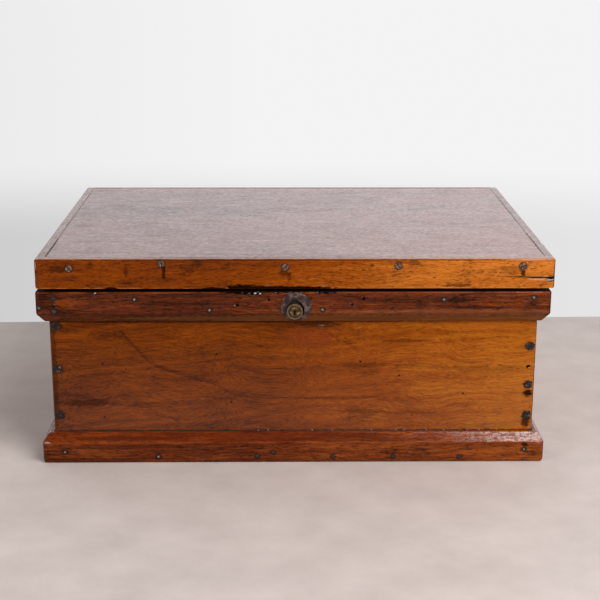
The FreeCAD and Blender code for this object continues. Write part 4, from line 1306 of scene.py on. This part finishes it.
    def panel_marks(self) -> tuple[Mark, ...]:
        """Smudges on the top, the back edge, and the groove marks with their painted shade.

        Returns:
            Marks on the top face.
        """
        return (Mark(-206.0, 62.0, 34.0, 40.0, strength=0.14), Mark(-242.0, -37.0, 30.0, 16.0, strength=0.22),
                Mark(40.0, -184.0, 90.0, 12.0, strength=0.2), Mark(-30.0, -186.0, 40.0, 8.0, strength=0.2),
                Mark(-2.0, 58.0, 40.0, 10.0, strength=0.12), self.back_edge, *self.groove_marks())

    def panel_lines(self) -> tuple[GrowthLine, ...]:
        """Growth lines that arch along the middle of the top.

        Returns:
            The lines that can be followed by eye.
        """
        return (GrowthLine(((-236, 122), (-206, 104), (-182, 74), (-128, 40)), 4.4, 0.38),
                GrowthLine(((-222, -6), (-196, 7), (-176, 27), (-128, 36)), 4.4, 0.34),
                GrowthLine(((-120, 92), (-98, 71), (-71, 44), (-30, 30)), 4.4, 0.36),
                GrowthLine(((-130, 8), (-112, 18), (-84, 24), (-40, 26)), 4.4, 0.32),
                GrowthLine(((60, 2), (77, 10), (113, 38), (155, 56), (230, 62)), 4.4, 0.36),
                GrowthLine(((20, 92), (90, 88), (150, 78), (230, 70)), 4.4, 0.3))

    def dress(self) -> None:
        """Gives the rim and the panel their finish."""
        for board in self.boards():
            finish = RIM_WOOD if board.grain is Axis.X else STRIP_WOOD
            wear_material(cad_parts[board.node], finish.material(board))
        under = BareZone((self.left, self.front, self.panel_bottom - 2),
                         (self.right, self.back, self.panel_bottom + 0.4))
        panel = Board("lid_panel", Axis.X, (-60.0, 46.0, 190.0), (0.0, 0.02, 0.16), 0.2, face=Face.TOP,
                      marks=self.panel_marks(), lines=self.panel_lines(), bare=under)
        wear_material(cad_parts["lid_panel"], TOP_WOOD.material(panel))
        log.info("lid dressed")


@dataclass
class WaxBead:
    """Hardened wax in the corner between the carcase and the top of the plinth."""

    half_width: float = 261.0
    half_depth: float = 185.0
    thickness: float = 1.0
    thinnest: float = 0.42
    pitch: float = 2.2

    def build(self) -> bpy.types.Object:
        """Runs a lumpy bead round the four sides.

        Returns:
            The bead as one object.
        """
        vertices: list[Vector] = []
        faces: list[tuple[int, ...]] = []
        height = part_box("plinth_front")[1].z / MM
        corners = [(-self.half_width, -self.half_depth), (self.half_width, -self.half_depth),
                   (self.half_width, self.half_depth), (-self.half_width, self.half_depth)]
        section = ((-0.3, 1.0), (0.35, 0.95), (0.8, 0.6), (1.0, -0.3), (-0.3, -0.3))
        for side in range(4):
            start, end = Vector(corners[side]), Vector(corners[(side + 1) % 4])
            run = end - start
            out = Vector((run.y, -run.x)).normalized()
            count = int(run.length / self.pitch)
            first = len(vertices)
            for station in range(count + 1):
                base = start + run * (station / count)
                grow = 0.75 + 0.9 * noise.noise(Vector((base.x * 0.21, base.y * 0.21, side)))
                grow += 0.5 * noise.noise(Vector((base.x * 0.7, base.y * 0.7, side + 9)))
                size = self.thickness * max(self.thinnest, grow)
                for a, b in section:
                    spot = base + out * a * size
                    vertices.append(Vector((spot.x, spot.y, height + b * size)) * MM)
            ring = len(section)
            for station in range(count):
                base = first + station * ring
                for i in range(ring):
                    j = (i + 1) % ring
                    faces.append((base + i, base + j, base + ring + j, base + ring + i))
            faces.append(tuple(first + i for i in range(ring)))
            faces.append(tuple(first + count * ring + ring - 1 - i for i in range(ring)))
        return new_piece("plinth_wax_bead", vertices, faces, [MATERIALS[Finish.WAX]], Body.CASE)


@dataclass(frozen=True)
class Lump:
    """One crumb: its middle, its size and how far it stands out, in millimetres."""

    across: float
    height: float
    width: float
    tall: float
    rise: float = 0.35


@dataclass
class Crumbs:
    """Small ragged lumps stuck to a face that looks to the front."""

    name: str
    depth: float
    lumps: tuple[Lump, ...]
    finish: Finish
    seed: int
    sides: int = 14

    def build(self) -> bpy.types.Object:
        """Builds each lump as a low dome with a ragged outline.

        Returns:
            The lumps as one object.
        """
        chance = random.Random(self.seed)
        count = self.sides
        vertices: list[Vector] = []
        faces: list[tuple[int, ...]] = []
        for lump in self.lumps:
            first = len(vertices)
            ragged = [chance.uniform(0.65, 1.15) for _ in range(count)]
            for share, rise in ((1.0, -0.1), (0.95, 0.5), (0.6, 0.9), (0.25, 1.0)):
                for i in range(count):
                    a = math.tau * i / count
                    reach = share * ragged[i]
                    lift = lump.rise * rise * chance.uniform(0.8, 1.1)
                    x = lump.across + reach * lump.width / 2 * math.cos(a)
                    z = lump.height + reach * lump.tall / 2 * math.sin(a)
                    vertices.append(Vector((x, self.depth - lift, z)) * MM)
            for level in range(3):
                for i in range(count):
                    j = (i + 1) % count
                    base = first + level * count
                    faces.append((base + i, base + j, base + count + j, base + count + i))
            faces.append(tuple(first + 3 * count + i for i in range(count)))
            faces.append(tuple(first + count - 1 - i for i in range(count)))
        return new_piece(self.name, vertices, faces, [MATERIALS[self.finish]], Body.CASE)


@dataclass
class PlugFace:
    """Two worn half-moons on the end of the plug, one each side of its keyway."""

    middle: tuple[float, float, float] = (LOCK_X, -203.2, LOCK_Z)
    radius: float = 4.3
    half_keyway: float = 0.8
    rise: float = 0.75

    def build(self) -> bpy.types.Object:
        """Builds both half-moons as low domes.

        Returns:
            The half-moons as one object.
        """
        vertices: list[Vector] = []
        faces: list[tuple[int, ...]] = []
        edge = math.asin(self.half_keyway / self.radius)
        count = 13
        for side in (1, -1):
            first = len(vertices)
            angles = [edge + (math.pi - 2 * edge) * i / (count - 1) for i in range(count)]
            outline = [(side * self.radius * math.sin(a), side * self.radius * math.cos(a)) for a in angles]
            centre = side * self.radius * 0.45
            for share, lift in ((1.0, -0.05), (0.96, 0.3), (0.8, 0.66), (0.55, 0.9), (0.25, 1.0)):
                for u, v in outline:
                    x = self.middle[0] + centre + (u - centre) * share
                    y = self.middle[1] - lift * self.rise
                    vertices.append(Vector((x, y, self.middle[2] + v * share)) * MM)
            for level in range(4):
                for i in range(count):
                    j = (i + 1) % count
                    base = first + level * count
                    faces.append((base + i, base + j, base + count + j, base + count + i))
            faces.append(tuple(first + 4 * count + i for i in range(count)))
        piece = new_piece("lock_plug_face", vertices, faces, [MATERIALS[Finish.PLUG]], Body.PLUG)
        for polygon in piece.data.polygons:
            polygon.use_smooth = True
        return piece


@dataclass
class Ironwork:
    """Lock, plate, hinges, screws and nails."""

    nodes: dict[Finish, tuple[str, ...]] = field(default_factory=lambda: {
        Finish.PLATE: ("escutcheon",),
        Finish.BARREL: ("lock_barrel",),
        Finish.PLUG: ("lock_plug",),
        Finish.STEEL: ("lock_cam", "lock_bolt", "lock_plate", "lock_cover", "lock_rivets"),
        Finish.BRASS: ("link_plate", "link_lugs", "hinge_left_case_leaf", "hinge_right_case_leaf",
                       "hinge_left_lid_leaf", "hinge_right_lid_leaf", "hinge_left_pin", "hinge_right_pin"),
        Finish.NAIL: ("collar_nails", "plinth_nails", "bottom_nails"),
        Finish.FASTENER: ("carcase_screws", "lid_rim_screws", "hinge_case_screws", "hinge_lid_screws",
                          "lock_screws", "link_screws"),
    })
    rubbed_in_collar: tuple[tuple[float, float], ...] = (
        (-269.3, 175.7), (-168.0, 185.1), (-89.3, 173.1), (30.3, 173.5), (158.5, 184.5), (253.8, 186.5))
    rubbed_in_plinth: tuple[tuple[float, float], ...] = ((-248.7, 12.8), (-147.5, 7.2), (251.3, 14.4))

    def dress(self) -> None:
        """Gives every metal node its finish."""
        for finish, nodes in self.nodes.items():
            for node in nodes:
                wear_material(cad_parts[node], MATERIALS[finish])
        log.info("ironwork dressed")

    def heads(self) -> None:
        """Builds the heads of every group of fasteners that shows."""
        for head_set in (
                HeadSet("lid_rim_screws", Body.LID, True, Finish.WORN_SCREW, Finish.RUST,
                        dirt_and_shade_width=1.0, seed=11),
                HeadSet("carcase_screws", Body.CASE, True, Finish.FASTENER, Finish.DIRT_AND_SHADE,
                        dirt_and_shade_width=1.2, seed=12),
                HeadSet("collar_nails", Body.CASE, False, Finish.NAIL, Finish.RUBBED,
                        dirt_and_shade_width=1.5, plain=1.0, seed=13, rubbed=self.rubbed_in_collar),
                HeadSet("plinth_nails", Body.CASE, False, Finish.NAIL, Finish.RUBBED,
                        dirt_and_shade_width=0.9, plain=1.0, seed=14, rubbed=self.rubbed_in_plinth),
                HeadSet("link_screws", Body.LID, True, Finish.FASTENER, Finish.RUST,
                        dirt_and_shade_width=0.4, seed=15),
                HeadSet("lock_screws", Body.CASE, True, Finish.FASTENER, Finish.RUST,
                        dirt_and_shade_width=0.4, seed=16)):
            head_set.build()


@dataclass
class LooseBits:
    """Filler, plaster and splinters that have settled on the front, with painted glints and painted shade."""

    wax_depth: float = 0.9
    wax_height: float = 33.5
    dried: tuple[tuple[float, float], ...] = (
        (-39.0, 1.3), (-28.0, 1.0), (20.0, 1.6), (42.0, 1.3), (85.0, 1.2), (112.0, 1.4), (121.0, 1.6),
        (145.0, 1.6), (164.0, 1.4), (190.0, 1.0), (203.0, 1.2), (222.0, 1.0))
    # Painted highlights: pale specks for glints on the collar's top edge and on a nail.
    painted_glints: tuple[Lump, ...] = (Lump(-209.0, 192.0, 2.4, 1.4), Lump(-41.0, 191.6, 3.2, 1.8),
                                Lump(-35.6, 191.2, 3.0, 1.8), Lump(30.0, 174.0, 3.8, 2.2))
    # Broken edges and splinters; the pale pieces beside the nail holes are painted highlights on their rims.
    chips_and_hole_glints: tuple[Lump, ...] = (
        Lump(-54.5, 192.2, 2.4, 1.2), Lump(-47.0, 191.8, 3.4, 1.2), Lump(-38.0, 193.0, 4.0, 1.2),
        Lump(-19.2, 192.4, 3.0, 1.2), Lump(-6.1, 191.2, 3.2, 1.6), Lump(-3.4, 192.6, 4.6, 1.4),
        Lump(2.4, 192.4, 4.8, 1.2), Lump(7.8, 192.4, 3.6, 1.6), Lump(24.0, 192.4, 3.4, 1.6),
        Lump(30.0, 191.8, 5.0, 0.9), Lump(38.0, 192.0, 7.0, 1.0), Lump(46.0, 191.8, 5.0, 0.9),
        Lump(-62.6, 178.0, 2.8, 2.2), Lump(-28.0, 184.4, 1.6, 1.4), Lump(252.4, 187.4, 1.8, 1.4),
        Lump(59.8, 180.2, 1.8, 1.4), Lump(63.6, 177.0, 2.2, 1.4), Lump(72.0, 187.0, 2.2, 1.4),
        Lump(-269.6, 176.2, 3.2, 2.2), Lump(-252.2, 179.4, 3.0, 1.0), Lump(-250.6, 176.6, 2.6, 1.0),
        Lump(253.8, 180.4, 2.2, 1.2))

    def build(self) -> None:
        """Builds each kind as a piece of its own."""
        in_wax = tuple(Lump(x, self.wax_height, size, 0.9, 0.5) for x, size in self.dried)
        plate_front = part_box("escutcheon")[0].y / MM
        for crumbs in (
                Crumbs("filler_under_collar", CARCASE_FRONT, (Lump(29.9, 152.8, 8.6, 2.4, 0.6),),
                       Finish.FILLER, 4),
                Crumbs("flecks_in_wax", CARCASE_FRONT - self.wax_depth, in_wax, Finish.FLECK_AND_GLINT, 7),
                # Painted shade: a black lump where the plate's hole above the barrel is dark.
                Crumbs("painted_shade_over_barrel", plate_front, (Lump(1.2, 182.6, 9.4, 7.2, 0.12),), Finish.HOLE_SHADE, 9),
                # Painted highlight: a pale lump on the rim of a hole in the front board.
                Crumbs("painted_glint_at_hole", CARCASE_FRONT, (Lump(254.6, 104.6, 1.9, 1.2, 0.3),), Finish.FLECK_AND_GLINT, 8),
                Crumbs("painted_glints_on_collar", COLLAR_FRONT, self.painted_glints, Finish.FLECK_AND_GLINT, 5),
                Crumbs("chips_and_glints_on_collar", COLLAR_FRONT, self.chips_and_hole_glints, Finish.SPLINTER_AND_GLINT, 6)):
            crumbs.build()


@dataclass(frozen=True)
class TrowelledCement:
    """Table top of pale trowelled cement: matt, with soft clouds some centimetres wide."""

    name: str = "trowelled_cement"
    dark: str = "#BCB0AA"
    middle: str = "#C3B7B1"
    pale: str = "#CABEB8"
    cloud: float = 60.0
    roughness: float = 0.62
    specular: float = 0.3
    relief: float = 0.3

    def material(self) -> bpy.types.Material:
        """Draws up the material.

        Returns:
            The finished material.
        """
        made = bpy.data.materials.new(self.name)
        g = Graph(made)
        place = g.add("TexCoord", out="Object")
        cloud = g.add("TexNoise", {"Vector": place, "Scale": 1 / (self.cloud * MM), "Detail": 5.0,
                                   "Roughness": 0.6})
        colour = g.add("ValToRGB", {0: cloud}, stops=((0.3, self.dark), (0.5, self.middle), (0.7, self.pale)))
        bump = g.add("Bump", {"Strength": 0.15, "Distance": self.relief * MM, "Height": cloud})
        shader = g.add("BsdfPrincipled", {"Base Color": colour, "Roughness": self.roughness,
                                          "Specular IOR Level": self.specular, "Normal": bump})
        g.add("OutputMaterial", {"Surface": shader})
        return made


@dataclass(frozen=True)
class Lamp:
    """Soft square lamp. Its place, its target and its width are in metres, its power in watts."""

    name: str
    place: tuple[float, float, float]
    target: tuple[float, float, float]
    size: float
    power: float

    def hang(self) -> None:
        """Hangs the lamp and turns it to its target."""
        data = bpy.data.lights.new(self.name, "AREA")
        data.size = self.size
        data.energy = self.power
        lamp = bpy.data.objects.new(self.name, data)
        lamp.location = self.place
        lamp.rotation_mode = "QUATERNION"
        lamp.rotation_quaternion = (Vector(self.target) - Vector(self.place)).to_track_quat("-Z", "Y")
        bpy.context.scene.collection.objects.link(lamp)


@dataclass
class Studio:
    """Pale table, soft light and the camera at the photograph's viewing angle."""

    table_back: float = 347.0
    table_skew: float = 0.0258
    table_reach: float = 4000.0
    focal_pixels: float = 1310.0
    frame_pixels: float = 600.0
    sensor: float = 36.0
    eye: tuple[float, float, float] = (-13.13, -1525.56, 561.04)
    yaw: float = -0.014625
    pitch: float = 0.276226
    roll: float = 0.002348
    lamps: tuple[Lamp, ...] = (Lamp("key_lamp", (1.15, -1.35, 1.75), (0.1, -0.1, 0.1), 1.35, 53.0),
                               Lamp("fill_lamp", (-1.6, -1.2, 1.4), (-0.1, -0.1, 0.1), 1.0, 10.0))

    def table(self) -> None:
        """Lays the table top, its far edge slightly askew."""
        reach, back = self.table_reach * MM, self.table_back * MM
        skew = reach * self.table_skew
        mesh = bpy.data.meshes.new("studio_table")
        mesh.from_pydata([(-reach, -reach, 0), (reach, -reach, 0), (reach, back + skew, 0),
                          (-reach, back - skew, 0)], [], [(0, 1, 2, 3)])
        table = bpy.data.objects.new("studio_table", mesh)
        bpy.context.scene.collection.objects.link(table)
        mesh.materials.append(TrowelledCement().material())

    def world(self) -> None:
        """Surrounds the table with pale walls, a dim room and a bright window behind the chest."""
        world = bpy.data.worlds.new("studio")
        bpy.context.scene.world = world
        g = Graph(world)
        # Where a ray looks: across and depth run from -1 to 1, and level is the sine of its angle.
        way = g.add("TexCoord", out="Generated")
        across, depth, level = (g.add("SeparateXYZ", {0: way}, out=axis) for axis in range(3))
        # The wall behind the table is in half shade low down, more so on the left.
        low = g.add("MapRange", {"Value": across, "From Min": -0.22, "From Max": 0.22, "To Min": 0.62,
                                 "To Max": 0.79})
        high = g.add("MapRange", {"Value": across, "From Min": -0.22, "From Max": -0.02, "To Min": 0.85,
                                  "To Max": 0.915})
        up_wall = g.add("MapRange", {"Value": level, "From Min": -0.225, "From Max": -0.165},
                        interpolation_type="SMOOTHSTEP")
        wall = g.add("Mix", {0: up_wall, 2: low, 3: high})
        # Above eye level the room falls away, so that the lamps model the chest.
        ceiling = g.add("MapRange", {"Value": depth, "From Min": -0.5, "From Max": 0.25, "To Min": 0.05,
                                     "To Max": 0.75})
        dim = g.add("MapRange", {"Value": level, "From Min": 0.05, "From Max": 0.4, "To Min": 1.0,
                                 "To Max": ceiling}, interpolation_type="SMOOTHSTEP")
        room = g.add("Math", {0: wall, 1: dim}, operation="MULTIPLY")
        # The window stands behind the chest and is brighter on the right.
        behind = g.add("MapRange", {"Value": depth, "From Min": 0.3, "From Max": 0.9},
                       interpolation_type="SMOOTHSTEP")
        strength = g.add("MapRange", {"Value": across, "From Min": -0.2, "From Max": 0.2, "To Min": 0.62,
                                      "To Max": 0.98})
        rising = g.add("MapRange", {"Value": level, "From Min": 0.02, "From Max": 0.13, "To Max": strength},
                       interpolation_type="SMOOTHSTEP")
        falling = g.add("MapRange", {"Value": level, "From Min": 0.4, "From Max": 0.18},
                        interpolation_type="SMOOTHSTEP")
        glow = g.add("Math", {0: behind, 1: rising}, operation="MULTIPLY")
        glow = g.add("Math", {0: glow, 1: falling}, operation="MULTIPLY")
        light = g.add("Math", {0: room, 1: glow}, operation="ADD")
        # Its light is cooler than that of the walls.
        tint = g.add("Mix", {0: glow, 6: linear("#FEFDFE"), 7: linear("#ECF0F7")}, out=2, data_type="RGBA")
        shade = g.add("Background", {"Color": tint, "Strength": light})
        g.add("OutputWorld", {"Surface": shade})

    def camera(self) -> None:
        """Sets the camera where the photograph was taken."""
        right = Vector((math.cos(self.yaw), math.sin(self.yaw), 0))
        level = Vector((-math.sin(self.yaw), math.cos(self.yaw), 0))
        upright = Vector((0, 0, 1))
        ahead = level * math.cos(self.pitch) - upright * math.sin(self.pitch)
        above = upright * math.cos(self.pitch) + level * math.sin(self.pitch)
        across = right * math.cos(self.roll) + above * math.sin(self.roll)
        rise = above * math.cos(self.roll) - right * math.sin(self.roll)
        turn = Matrix((across, rise, -ahead)).transposed().to_4x4()
        data = bpy.data.cameras.new("photo_camera")
        data.sensor_width = self.sensor
        data.lens = self.focal_pixels / self.frame_pixels * self.sensor
        data.clip_start, data.clip_end = 0.05, 50.0
        camera = bpy.data.objects.new("photo_camera", data)
        camera.matrix_world = Matrix.Translation(Vector(self.eye) * MM) @ turn
        bpy.context.scene.collection.objects.link(camera)
        bpy.context.scene.camera = camera

    def build(self) -> None:
        """Sets up table, light and camera."""
        self.table()
        self.world()
        for lamp in self.lamps:
            lamp.hang()
        self.camera()
        bpy.context.scene.view_settings.view_transform = "Standard"
        log.info("studio ready")


def main() -> None:
    """Dresses the chest and sets the studio, piece by piece."""
    logging.basicConfig(level=logging.INFO, format="%(name)s: %(message)s")
    prepare_finishes()
    Carcase().dress()
    # The collar's top lies in the gap under the lid: it is left unpolished and painted near black as shade.
    shaded_gap_top = BareZone((-300.0, -300.0, 192.9), (300.0, 300.0, 194.0), "#070403")
    Band("collar", COLLAR_WOOD, (192.4,), collar_marks(), heart_height=140.0, shade=-0.16, bleach_and_light=0.18,
         unpolished_shaded_top=shaded_gap_top).dress()
    Band("plinth", PLINTH_WOOD, (23.2,), plinth_marks(), heart_height=-20.0, shade=-0.07,
         bleach_and_light=0.2).dress()
    Lid().dress()
    ironwork = Ironwork()
    ironwork.dress()
    ironwork.heads()
    WaxBead().build()
    PlugFace().build()
    LooseBits().build()
    Studio().build()


if __name__ == "__main__":
    main()
